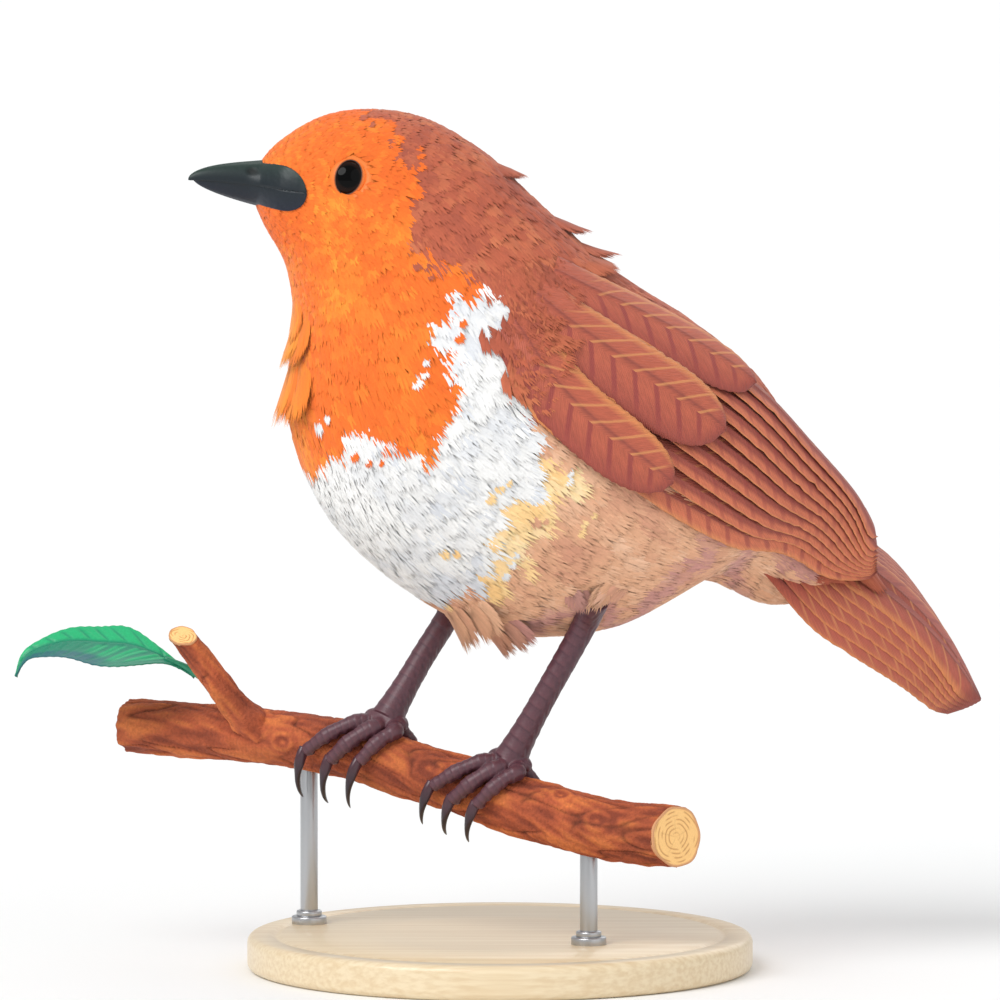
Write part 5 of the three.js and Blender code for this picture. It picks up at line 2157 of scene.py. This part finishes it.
@dataclass
class Perch:
    """The cut branch with its side twig and leaf."""

    # Knots: distance along the branch, degrees from the top toward -y, size.
    knots: tuple[tuple[float, float, float], ...] = (
        (52.0, 62, 1.7), (73.0, 30, 1.2), (80.5, 66, 1.5), (28.0, 88, 1.3),
    )
    voxel: float = 0.24
    # Directions that the sawn faces look: thick end, and twig.
    thick_cut: tuple[float, float, float] = (0.66, -0.75, 0.05)
    twig_cut: tuple[float, float, float] = (-0.10, -0.60, 0.79)
    # The leaf: places on its midrib, half width, lean of the blade, shift of the midrib and space between veins.
    rib: tuple[tuple[float, float, float], ...] = (
        (-43.6, 14.8, 40.2), (-47.9, 14.8, 42.6), (-52.0, 14.7, 43.6), (-57.0, 14.6, 44.0),
        (-61.5, 14.4, 44.5), (-64.8, 14.2, 44.2), (-67.6, 14.1, 43.2), (-69.4, 14.0, 40.3),
    )
    leaf_half: float = 5.2
    leaf_lean: float = math.radians(32)
    rib_shift: float = 0.38
    vein_gap: float = 2.6

    @staticmethod
    def stem(bough: Bough, rings: int, sides: int, cut: tuple[float, float, float]) -> Shell:
        """Make a plain stem.

        Args:
            bough: The stem.
            rings: Number of rings along it.
            sides: Points in a ring.
            cut: Direction that the sawn face at its far end looks.

        Returns:
            The closed stem.
        """
        share = np.linspace(0, 1, rings)
        points = hoops(bough.line, share * bough.line.length, bough.radius(share), sides)
        face = unit(np.array(cut))
        way, _, _ = bough.line.frames(np.array([bough.line.length]))
        slide = -((points[-1] - bough.end) @ face) / (way[0] @ face)
        fade = ease(0.8, 1.0, share)[:, None, None]
        return Shell.closed(points + fade * (slide[:, None] * way[0])[None])

    def bark(self) -> bpy.types.Object:
        """Fuse branch and twig, then carve fissures, ridges and knots into the bark.

        Returns:
            Branch and twig.
        """
        plain = [self.stem(BRANCH, 90, 40, self.thick_cut), self.stem(TWIG, 40, 28, self.twig_cut)]
        wood = fused("perch_bark", plain, BARK, self.voxel, 3)
        points, normals = read_points(wood), read_points(wood, "normal")
        shares = np.linspace(0, 1, STEM_STEPS)
        stems = [(bough.line, bough.radius(shares)) for bough in (BRANCH, TWIG)]
        which, along, angle = nearest_place(points, stems)
        radius = np.where(which == 0, 3.9, 2.2)
        wound = angle + 0.15 * np.sin(along * 0.21 + which)
        seen = np.stack([radius * np.cos(wound), radius * np.sin(wound), along * 0.17 + 40 * which], axis=-1)
        wide = ripple(seen, 1.3, 21)
        fine = ripple(seen * np.array([1, 1, 1.6]), 0.62, 22)
        crack = np.maximum(0, 1 - np.abs(wide) / 0.22) ** 1.5 * ease(-0.9, 0.4, ripple(seen, 2.6, 23))
        scale = ripple(np.stack([seen[:, 0], seen[:, 1], along], axis=-1), 1.1, 24)
        height = 0.16 * wide + 0.10 * fine + 0.05 * scale - 0.30 * crack
        ring_tone = np.zeros(len(points))
        for distance, degrees, size in self.knots:
            turn = (angle - math.radians(degrees) + math.pi) % TURN - math.pi
            away = np.hypot((along - distance) / 1.5, turn * radius) / size
            near = (which == 0) * np.exp(-(away / 1.25) ** 2)
            rings = np.cos(away * 7.5)
            pit = (which == 0) * 0.5 * np.exp(-(away / 0.33) ** 2)
            height = height * (1 - 0.8 * near) + near * (0.42 + 0.10 * rings) - pit
            ring_tone += near * (0.35 * rings - 0.25)
        collar = (which == 1) * np.exp(-((along - 4.2) / 1.5) ** 2)
        height = height + 0.35 * collar * (1 + 0.3 * np.sin(angle * 5))
        height = np.where(self.on_cut(points), 0.0, height)
        # The tone follows the same ripples that lift the bark, so raised bark is lighter and hollows darker: partly
        # its own streaks, partly painted light and shade.
        tone = np.clip(0.52 + 0.34 * wide + 0.26 * fine + ring_tone, 0, 1)[:, None]
        dark, middle, light = linear("823b25"), linear("a95231"), linear("c76d3a")
        colour = np.where(tone < 0.5, blend(dark, middle, tone * 2), blend(middle, light, tone * 2 - 1))
        # The fissures are darker: partly their own darker inner bark, partly painted shade.
        colour = colour * (1 - 0.55 * crack[:, None]) * (1 + 0.10 * ripple(points, 5.0, 25)[:, None])
        reshape(wood, points + normals * height[:, None], colour)
        return place(wood, "bark", "perch_branch", "perch_twig")

    def on_cut(self, points: np.ndarray) -> np.ndarray:
        """Tell which points lie on a sawn face.

        Args:
            points: Places in the model's frame.

        Returns:
            True for those on a sawn face.
        """
        hit = np.zeros(len(points), bool)
        for bough, cut in ((BRANCH, self.thick_cut), (TWIG, self.twig_cut)):
            offset = points - bough.end
            hit |= (np.linalg.norm(offset, axis=1) < 7) & (np.abs(offset @ unit(np.array(cut))) < 0.22)
        return hit

    @staticmethod
    def sawn_face(bough: Bough, cut: tuple[float, float, float], seed: int) -> Shell:
        """Make the sawn end as a thin closed disc with growth rings and fine checks.

        Args:
            bough: The stem that was cut.
            cut: Direction that the face looks.
            seed: Number that fixes the grain.

        Returns:
            The disc.
        """
        face = unit(np.array(cut))
        way, up, side = (axis[0] for axis in bough.line.frames(np.array([bough.line.length])))
        radius = float(bough.radius(1.0)) * 0.97
        rings, around = 44, 96
        share, turn = np.linspace(0.012, 1, rings), np.arange(around) * TURN / around
        wobble = 1 + 0.025 * np.sin(turn * 3 + seed) + 0.015 * np.sin(turn * 7)
        reach = share[:, None] * radius * wobble
        flat = bough.end + up * (reach * np.cos(turn))[..., None] + side * (reach * np.sin(turn))[..., None]
        flat = flat - way * (((flat - bough.end) @ face) / (way @ face))[..., None]
        polar = reach + 0.20 * np.sin(turn * 2 + 1) * reach / radius + 0.10 * np.sin(turn * 5) * reach / radius
        pitch = 0.62 if radius > 3 else 0.42
        growth = 0.5 + 0.5 * np.cos(TURN * polar / pitch)
        spots = np.stack([reach * np.cos(turn), reach * np.sin(turn), 0 * reach], axis=-1)
        line = growth ** 5 * ease(-0.6, 0.3, ripple(spots, 1.1, seed))
        check = np.exp(-((np.sin(turn * 2.5 + seed) / 0.10) ** 2))[None] * ease(0.9, 0.2, share)[:, None] * 0.6
        rim = ease(0.90, 0.955, share)[:, None] * np.ones(around)
        height = 0.16 - 0.07 * line - 0.10 * check + 0.12 * rim
        front = flat + face * height[..., None]
        back = flat[[-1, 0]] - face * 0.25
        colour = blend(linear("fdcb84"), linear("b97d48"), (0.85 * line)[..., None])
        # Painted shade: the checks are darkened as if shadowed inside.
        colour = blend(colour, linear("d39a6c"), rim[..., None]) * (1 - 0.3 * check[..., None])
        edge = np.ones((2, around, 3)) * linear("d39a6c")
        tones = np.concatenate([np.concatenate([colour, edge]).reshape(-1, 3), colour[0, :1], edge[0, :1]])
        return Shell.closed(np.concatenate([front, back]), tones)

    def leaf(self) -> bpy.types.Object:
        """Model the leaf: a thin blade cupped along its midrib, with raised veins, and its stalk.

        Returns:
            The leaf with its stalk.
        """
        rib = Line(np.array(self.rib))
        share, across = np.linspace(0, 1, 110), np.linspace(-1, 1, 49)
        way, _, _ = rib.frames(share * rib.length)
        flat = unit(np.cross(np.array([0.0, -1.0, 0.0]), way))
        aside = unit(np.array([0, -math.cos(self.leaf_lean), 0]) + flat * math.sin(self.leaf_lean))
        face = unit(np.cross(way, aside))
        full = np.maximum(np.sin(math.pi * share ** 0.8), 0) ** 1.3
        half = 0.22 + self.leaf_half * full * (0.15 + 0.85 * ease(0.05, 0.42, share))
        # The midrib runs nearer the upper edge.
        off = across + self.rib_shift
        tooth = 1 - 0.035 * (0.5 + 0.5 * np.sin(share * 150)) * ease(0.1, 0.2, share) * ease(1.0, 0.9, share)
        wide = half[:, None] * across * np.where(np.abs(across) > 0.97, tooth[:, None], 1.0)
        vein_phase = (share[:, None] * rib.length - np.abs(half[:, None] * off) * 0.95) / self.vein_gap
        phase = (vein_phase + 0.5) % 1
        vein = np.exp(-((phase - 0.5) / 0.11) ** 2) * ease(0.02, 0.12, np.abs(off)) * ease(1, 0.75, np.abs(across))
        middle = np.exp(-(half[:, None] * off / 0.28) ** 2)
        wave = 0.10 * np.sin(share[:, None] * 21) * np.abs(across) ** 2 * half[:, None] / 5
        shape = 0.13 * half[:, None] * off ** 2 + wave
        puff = 0.10 * np.sin(math.pi * phase) * ease(0.05, 0.4, np.abs(off)) * ease(1, 0.8, np.abs(across))
        top = shape + 0.10 + puff * 0.9 - 0.16 * vein - 0.20 * middle
        low = shape - 0.10 + puff * 0.9 - 0.20 * vein - 0.34 * middle
        sheet = rib.at(share * rib.length)[:, None] + aside[:, None] * wide[..., None]
        over = sheet + face[:, None] * top[..., None]
        under = sheet + face[:, None] * low[..., None]
        # Painted light: the blade is lighter above the midrib and in the puffed cells between veins (painted
        # highlight), and deep teal on its lower side toward the tip (painted shade).
        light, main, painted_shade = linear("22b374"), linear("1b8466"), linear("15656a")
        cell = ease(0.45, 0.75, np.sin(math.pi * phase)) * ease(0.14, 0.26, off) * ease(1.1, 0.9, off)
        cell = cell * (ease(0.12, 0.22, share) * ease(0.62, 0.5, share))[:, None]
        colour = blend(light, main, (ease(-0.06, 0.06, off) * (1 - cell))[..., None])
        shaded = ease(0.25, 0.5, across) * ease(0.42, 0.55, share)[:, None]
        colour = blend(colour, painted_shade, shaded[..., None])
        colour = blend(colour, main, np.maximum(0.7 * vein, 0.9 * middle)[..., None])
        # Painted shade: the underside is the upper colours mirrored and darkened by a fifth.
        pair = np.concatenate([colour, colour[:, ::-1] * 0.8], axis=1).reshape(-1, 3)
        blade = Shell.closed(np.concatenate([over, under[:, ::-1]], axis=1),
                             np.concatenate([pair, pair[:1], pair[-1:]]))
        made = Shell.joined([blade, self.stalk()])
        return place(made.piece("perch_leaf_blade", LEAF), "leaf", "perch_leaf")

    @staticmethod
    def stalk() -> Shell:
        """Make the leaf's stalk, from the twig to the blade.

        Returns:
            The stalk.
        """
        line = Line(np.array([(-38.8, 13.4, 37.0), (-41.9, 14.4, 39.6), (-44.6, 14.8, 41.3), (-48.0, 14.8, 42.8)]))
        steps = np.linspace(0, 1, 24)
        made = Shell.closed(hoops(line, steps * line.length, 0.85 - 0.5 * steps, 12))
        made.tones = np.tile(linear("2c8a68"), (len(made.points), 1))
        return made

    def build(self) -> None:
        """Make bark, sawn faces and leaf."""
        self.bark()
        ends = [self.sawn_face(BRANCH, self.thick_cut, 3), self.sawn_face(TWIG, self.twig_cut, 5)]
        place(Shell.joined(ends).piece("perch_sawn_ends", END_GRAIN), "bark")
        self.leaf()


# ---- Legs and feet ------------------------------------------------------------------------------------------


@dataclass(frozen=True)
class Toe:
    """One toe: angles round the branch that it starts and ends at, place along it, thickness."""

    name: str
    angles: tuple[float, float]
    starts: float
    shift: float
    radius: float


TOES = (
    Toe("inner", (24, 92), 2.8, -4.5, 1.26),
    Toe("middle", (26, 102), 0.0, -5.1, 1.34),
    Toe("outer", (24, 98), -2.8, -5.3, 1.24),
    Toe("hind", (-24, -92), 0.0, 3.4, 1.2),
)


@dataclass
class Foot:
    """The bare leg and foot on one side: scaled skin from the ankle to the toes, and the claws."""

    leg: Leg
    # A toe's radius at its end and its distance from the middle one there, as shares of those at its start.
    toe_end: float = 0.74
    fan: float = 1.5
    clearance: float = 0.12
    # Radius at the ankle, at the middle and at the foot.
    shank: tuple[float, float, float] = (2.15, 1.72, 2.4)
    # Half length and half width of the pad, and its height over the bark.
    pad: tuple[float, float, float] = (3.5, 1.95, 1.6)
    # Degrees round the branch at which a claw starts, past its toe's end, and that it turns through.
    claw_start: float = -7.0
    claw_turn: float = 62.0
    # How far a claw's tip stands along the branch, how high it arches, and its tip's height over the bark.
    claw_shift: float = -0.9
    claw_arch: float = 0.35
    claw_hang: float = 3.1
    # What is added to the turn and hang of the right foot's claws.
    far_turn: float = 6.0
    far_hang: float = 0.9
    # Space between scutes on the shank and on the toes.
    plates: tuple[float, float] = (1.75, 0.95)
    voxel: float = 0.125

    def toe_line(self, toe: Toe, claw: bool) -> Line:
        """Give the middle line of a toe or of its claw, in the model's frame.

        Args:
            toe: Which toe.
            claw: Whether the claw's line is asked for.

        Returns:
            The line.
        """
        turn = math.copysign(1, toe.angles[1] - toe.angles[0])
        share = np.linspace(0, 1, 9)
        on_toe, on_claw = (np.ones(9), share) if claw else (share, np.zeros(9))
        curl = toe.angles[0] + (toe.angles[1] - toe.angles[0]) * on_toe
        reach = (self.claw_turn + self.far_turn * (self.leg.side > 0)) * (1 if turn > 0 else 0.55)
        curl = curl + (turn * (self.claw_start + reach * on_claw) if claw else 0)
        spread = self.leg.side * toe.starts * (1 + (self.fan - 1) * on_toe)
        drift = toe.shift * on_toe + self.claw_shift * on_claw * turn
        rest = toe.radius * (1 + (self.toe_end - 1) * on_toe) + self.clearance
        hang = self.claw_hang + self.far_hang * (self.leg.side > 0)
        lift = rest + (hang - rest) * on_claw + self.claw_arch * np.sin(math.pi * on_claw)
        return Line(BRANCH.bark_point(self.leg.site + spread + drift, np.radians(curl), lift))

    def shank_line(self) -> Line:
        """Give the middle line of the bare shank, in the model's frame.

        Returns:
            The line, from the ankle down.
        """
        spots = ((self.leg.exit, 0.2), (self.leg.belly, 1.0))
        top, low = (to_model(BODY.point(*BODY.nearest(tuple(self.leg.mirrored(spot))), height))
                    for spot, height in spots)
        foot = self.over_pad(0.3)
        return Line(np.array([top, low, (low + foot) / 2, foot]))

    def over_pad(self, height: float) -> np.ndarray:
        """Give the place at a height over the middle of the pad."""
        return BRANCH.bark_point(np.array([self.leg.site]), np.zeros(1), np.array([self.pad[2] + height]))[0]

    def toe_radius(self, toe: Toe, share: np.ndarray) -> np.ndarray:
        """Give a toe's radius along it: fuller at the joints' pads."""
        return toe.radius * (1 + (self.toe_end - 1) * share) * (1 + 0.08 * np.cos(6 * math.pi * share))

    def skin(self) -> bpy.types.Object:
        """Fuse shank, pad and toes, then press scutes, joints and sole pads into them.

        Returns:
            The skin of leg and foot.
        """
        line = self.shank_line()
        share = np.linspace(0, 1, 40)
        ankle, slim, foot = self.shank
        radius = slim + (np.where(share < 0.5, ankle, foot) - slim) * np.abs(2 * share - 1) ** 3
        kept = np.linspace(0, 1, STEM_STEPS)
        stems = [(line, np.interp(kept, share, radius))]
        shells = [Shell.closed(hoops(line, share * line.length, radius, 24))]
        steps = np.linspace(0, 1, 44)
        for toe in TOES:
            line = self.toe_line(toe, False)
            line = Line(np.vstack([self.over_pad(0.0), line.at(np.linspace(0, line.length, 8))]))
            radius = self.toe_radius(toe, steps) * np.sqrt(np.clip((1.004 - steps) / 0.05, 0.02, 1))
            shells.append(Shell.closed(hoops(line, steps * line.length, radius, 20)))
            stems.append((line, np.interp(kept, steps, radius)))
        shells.append(self.pad_shell())
        name = self.leg.name
        skin = fused(f"leg_{name}_scaled_skin", shells, SCALES, self.voxel, 9)
        points, normals = read_points(skin), read_points(skin, "normal")
        which, along, _ = nearest_place(points, stems)
        height, tone = self.scutes(points, which, along, [line for line, _ in stems])
        colour = blend(linear("59343d"), linear("74444c"), np.clip(tone, 0, 1)[:, None])
        colour = blend(colour, linear("3a1f2e"), np.clip(-tone, 0, 1)[:, None])
        reshape(skin, points + normals * height[:, None], colour)
        toes = [f"toe_{name}_{toe.name}" for toe in TOES]
        return place(skin, "leg_skin", f"tarsus_{name}", *toes)

    def scutes(self, points: np.ndarray, which: np.ndarray, along: np.ndarray,
               lines: list[Line]) -> tuple[np.ndarray, np.ndarray]:
        """Work out the relief and shade of the scales.

        Args:
            points: Places on the skin.
            which: 0 for the shank, from 1 for the toes.
            along: Distance along the shank or toe.
            lines: Middle line of each.

        Returns:
            The height in millimetres and a shade from -1 to 1 for each place.
        """
        height, tone = np.zeros(len(points)), np.zeros(len(points))
        for number, line in enumerate(lines):
            mine = which == number
            distance = np.clip(along[mine], 0, line.length)
            spot = line.at(distance)
            outer = unit(points[mine] - spot)
            if number == 0:
                front = np.clip(outer @ unit(np.array([-1.0, -0.25, 0.1])), -1, 1)
            else:
                centre = BRANCH.line.at(np.clip(self.nearest_distance(spot), 0, BRANCH.line.length))
                front = np.clip((outer * unit(spot - centre)).sum(-1), -1, 1)
            plate = (distance / self.plates[number > 0] + 0.12 * front) % 1
            gap = 0.9 * np.exp(-((1 - plate) / 0.10) ** 2)
            face = ease(-0.15, 0.35, front)
            net = ripple(points[mine], 0.42, 31)
            sole = 0.10 * np.sin(distance / 1.5 * TURN) * (number > 0)
            height[mine] = 0.085 * (plate ** 1.6 - gap) * face + (1 - face) * (0.035 * net + sole)
            tone[mine] = face * (0.55 * (plate - 0.45) - gap) + (1 - face) * (0.2 * net - 0.3)
        return height, tone

    @staticmethod
    def nearest_distance(spots: np.ndarray) -> np.ndarray:
        """Give the distance along the branch that is nearest to each of some places.

        Args:
            spots: Places in the model's frame.

        Returns:
            Millimetres along the branch, one value for each.
        """
        distance = np.linspace(0, BRANCH.line.length, 240)
        line = BRANCH.line.at(distance)
        return distance[np.linalg.norm(spots[:, None] - line[None], axis=-1).argmin(axis=1)]

    def pad_shell(self) -> Shell:
        """Make the pad where the toes spread, a flattened ball along the branch.

        Returns:
            The pad.
        """
        centre = self.over_pad(0.0)
        way, up, near = (axis[0] for axis in BRANCH.line.frames(np.array([self.leg.site])))
        polar, turn = np.linspace(0.05, math.pi - 0.05, 20), np.arange(28) * TURN / 28
        ring = np.sin(polar)[:, None]
        points = (centre + way * (self.pad[0] * np.cos(polar))[:, None, None]
                  + up * (self.pad[1] * 0.85 * ring * np.cos(turn))[..., None]
                  + near * (self.pad[1] * 1.15 * ring * np.sin(turn))[..., None])
        return Shell.closed(points)

    def claws(self) -> bpy.types.Object:
        """Make the four claws: curved horn, deeper than wide, with a sharp point.

        Returns:
            The claws.
        """
        shells = []
        share, sides = np.linspace(0, 1, 40), 18
        radius = 0.70 * (1 - share ** 1.3) ** 0.8 + 0.05
        oval = 1 + 0.16 * np.cos(2 * np.arange(sides) * TURN / sides)
        shade = np.append(np.repeat(share, sides), [0, 1])[:, None]
        tones = blend(linear("4d2c36"), linear("22101a"), ease(0.0, 0.5, shade))
        for toe in TOES:
            line = self.toe_line(toe, True)
            rings = hoops(line, share * line.length, radius[:, None] * oval, sides)
            shells.append(Shell.closed(rings, tones))
        name = self.leg.name
        nodes = [f"claw_{name}_{toe.name}" for toe in TOES]
        return place(Shell.joined(shells).piece(f"claws_{name}", CLAW_HORN), "claw", *nodes)

    def build(self) -> None:
        """Make skin and claws."""
        self.skin()
        self.claws()


# ---- Stand --------------------------------------------------------------------------------------------------


@dataclass(frozen=True)
class Maple(Finish):
    """Maple turned on a lathe and lacquered: pale, with close straight grain and a satin gloss."""

    def dress(self, tree: bpy.types.NodeTree, shader: bpy.types.Node) -> None:
        """Stretch a noise along x for the grain.

        Args:
            tree: The node tree.
            shader: The surface's shader.
        """
        grain = self.grain(tree, (30, 1500, 1500), 5.0)
        ramp = add_node(tree, "ShaderNodeValToRGB", {}, {"Fac": grain})
        low, high = ramp.color_ramp.elements
        low.position, low.color = 0.36, rgba("dcc49e")
        high.position, high.color = 0.62, rgba("e8d5b3")
        tree.links.new(ramp.outputs[0], shader.inputs["Base Color"])
        self.relief(tree, shader, grain, 0.03)


@dataclass(frozen=True)
class BrushedSteel(Finish):
    """Drawn steel rod, brushed along its length: fine lines and a soft highlight."""

    def dress(self, tree: bpy.types.NodeTree, shader: bpy.types.Node) -> None:
        """Stretch a noise along z for the brush lines.

        Args:
            tree: The node tree.
            shader: The surface's shader.
        """
        shader.inputs["Base Color"].default_value = rgba("b9babc")
        lines = self.grain(tree, (9000, 9000, 160), 2.0)
        rough = add_node(tree, "ShaderNodeMapRange", {"To Min": 0.24, "To Max": 0.42}, {"Value": lines}).outputs[0]
        tree.links.new(rough, shader.inputs["Roughness"])
        self.relief(tree, shader, lines, 0.008)


MAPLE = Maple("maple, turned and satin lacquered", roughness=0.38, coat=0.25)
STEEL = BrushedSteel("steel rod, brushed", roughness=0.32, metallic=1.0)


@dataclass
class Stand:
    """Plain display stand: a turned maple disc and two steel rods with small collars."""

    radius: float = 36.0
    height: float = 5.0
    rod: float = 1.25
    # Name of each rod, and the distance along the branch that it carries.
    rods: tuple[tuple[str, float], ...] = (("far", 30.0), ("near", 77.0))

    def base(self) -> bpy.types.Object:
        """Turn the disc: a cylinder with rounded edges and a shallow bead line near its rim.

        Returns:
            The disc.
        """
        bpy.ops.object.select_all(action="DESELECT")
        bpy.ops.mesh.primitive_cylinder_add(vertices=160, radius=self.radius * MM, depth=self.height * MM,
                                            location=(0, 0, self.height * MM / 2))
        disc = bpy.context.object
        disc.name = "stand_base_disc"
        bpy.ops.object.mode_set(mode="EDIT")
        bpy.ops.mesh.select_mode(type="FACE")
        bpy.ops.mesh.select_all(action="DESELECT")
        bpy.ops.object.mode_set(mode="OBJECT")
        for face in disc.data.polygons:
            face.select = face.normal.z > 0.9
        bpy.ops.object.mode_set(mode="EDIT")
        for thickness, depth in ((3.4, 0.0), (0.45, -0.3), (0.5, 0.0), (0.45, 0.3), (14.0, 0.0)):
            bpy.ops.mesh.inset(thickness=thickness * MM, depth=depth * MM)
        bpy.ops.object.mode_set(mode="OBJECT")
        bpy.ops.object.transform_apply(location=True, rotation=True, scale=True)
        bevel = disc.modifiers.new("eased edges", "BEVEL")
        bevel.width, bevel.segments, bevel.limit_method, bevel.angle_limit = 1.1 * MM, 5, "ANGLE", math.radians(60)
        bpy.ops.object.modifier_apply(modifier=bevel.name)
        bpy.ops.object.shade_smooth_by_angle(angle=math.radians(35))
        disc.data.materials.append(MAPLE.material())
        return place(disc, "stand_wood", "stand_base")

    def post(self, name: str, site: float) -> bpy.types.Object:
        """Make one rod, with a collar on the base and a cupped end under the branch.

        Args:
            name: Which rod.
            site: Distance along the branch that it carries.

        Returns:
            The rod.
        """
        top = BRANCH.line.at(np.array([site]))[0]
        under = top[2] - float(BRANCH.radius(site / BRANCH.line.length)) + 0.35
        bpy.ops.object.select_all(action="DESELECT")
        parts = []
        for radius, low, high in (
            (self.rod, self.height - 0.6, under),
            (self.rod * 2.0, self.height - 0.2, self.height + 1.1),
            (self.rod * 1.45, self.height + 1.0, self.height + 1.9),
        ):
            bpy.ops.mesh.primitive_cylinder_add(vertices=48, radius=radius * MM, depth=(high - low) * MM,
                                                location=(top[0] * MM, top[1] * MM, (low + high) / 2 * MM))
            part = bpy.context.object
            bevel = part.modifiers.new("eased", "BEVEL")
            bevel.width, bevel.segments, bevel.limit_method = 0.22 * MM, 3, "ANGLE"
            bpy.ops.object.modifier_apply(modifier=bevel.name)
            parts.append(part)
        select_only(*parts)
        bpy.ops.object.join()
        post = bpy.context.object
        post.name = f"stand_rod_{name}_steel"
        bpy.ops.object.transform_apply(location=True, rotation=True, scale=True)
        bpy.ops.object.shade_smooth_by_angle(angle=math.radians(35))
        post.data.materials.append(STEEL.material())
        return place(post, "stand_metal", f"stand_rod_{name}")

    def build(self) -> None:
        """Make base and rods."""
        self.base()
        for name, site in self.rods:
            self.post(name, site)


# ---- Studio -------------------------------------------------------------------------------------------------


@dataclass
class Studio:
    """Pale floor, soft lights and the camera, in metres."""

    frame_width: float = 0.14205
    view_height: float = 0.0671
    distance: float = 2.4
    elevation: float = math.radians(6)
    floor_size: float = 14.0
    # Name, side that the light comes from, how wide it spreads in degrees, strength.
    lamps: tuple[tuple[str, tuple[float, float, float], float, float], ...] = (
        ("key", (-0.75, -0.85, 1.15), 38, 1.9),
        ("fill", (1.1, -0.9, 0.5), 70, 0.5),
        ("rim", (0.4, 1.0, 0.9), 50, 0.5),
    )

    def build(self) -> None:
        """Set out the floor, lamps, air light and camera."""
        self.floor()
        for name, spot, width, power in self.lamps:
            lamp = bpy.data.lights.new(name, "SUN")
            lamp.angle, lamp.energy = math.radians(width), power
            holder = bpy.data.objects.new(name, lamp)
            self.aim(holder, spot)
        world = bpy.data.worlds.new("pale room")
        bpy.context.scene.world = world
        world.use_nodes = True
        background = world.node_tree.nodes["Background"]
        background.inputs["Color"].default_value = rgba("f6f8fa")
        background.inputs["Strength"].default_value = 0.62
        camera = bpy.data.cameras.new("camera")
        camera.sensor_width = 36
        camera.lens = camera.sensor_width * self.distance / self.frame_width
        camera.clip_start, camera.clip_end = 0.1, 60
        holder = bpy.data.objects.new("camera", camera)
        target = np.array([0, 0, self.view_height])
        step = np.array([0, -math.cos(self.elevation), math.sin(self.elevation)])
        self.aim(holder, target + self.distance * step)
        scene = bpy.context.scene
        scene.camera = holder
        scene.view_settings.view_transform = "Standard"

    def aim(self, holder: bpy.types.Object, spot: tuple[float, float, float]) -> None:
        """Put a lamp or camera at a place, turned toward the middle of the bird.

        Args:
            holder: The lamp or camera.
            spot: Where it goes, metres.
        """
        bpy.context.scene.collection.objects.link(holder)
        holder.location = spot
        way = np.array([0, 0, self.view_height]) - np.array(spot)
        flat = math.hypot(way[0], way[1])
        holder.rotation_euler = (math.atan2(flat, -way[2]), 0, math.atan2(-way[0], way[1]))

    def floor(self) -> None:
        """Lay a wide pale matt floor."""
        bpy.ops.object.select_all(action="DESELECT")
        bpy.ops.mesh.primitive_plane_add(size=self.floor_size)
        floor = bpy.context.object
        floor.name = "floor"
        paint = bpy.data.materials.new("matt white paint")
        paint.use_nodes = True
        shader = paint.node_tree.nodes["Principled BSDF"]
        shader.inputs["Base Color"].default_value = rgba("f4f4f3")
        shader.inputs["Roughness"].default_value = 0.9
        floor.data.materials.append(paint)


def main() -> None:
    """Build the model piece by piece."""
    logging.basicConfig(level=logging.INFO, format="%(name)s: %(message)s")
    bpy.ops.object.select_all(action="DESELECT")
    Studio().build()
    Flesh().build()
    Coat().build()
    for side in (-1, 1):
        Wing(side).build()
    Tail().build()
    Bill().build()
    for side in (-1, 1):
        Eye(side).build()
    Perch().build()
    for leg in LEGS:
        Foot(leg).build()
    Stand().build()
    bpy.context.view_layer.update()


if __name__ == "__main__":
    main()
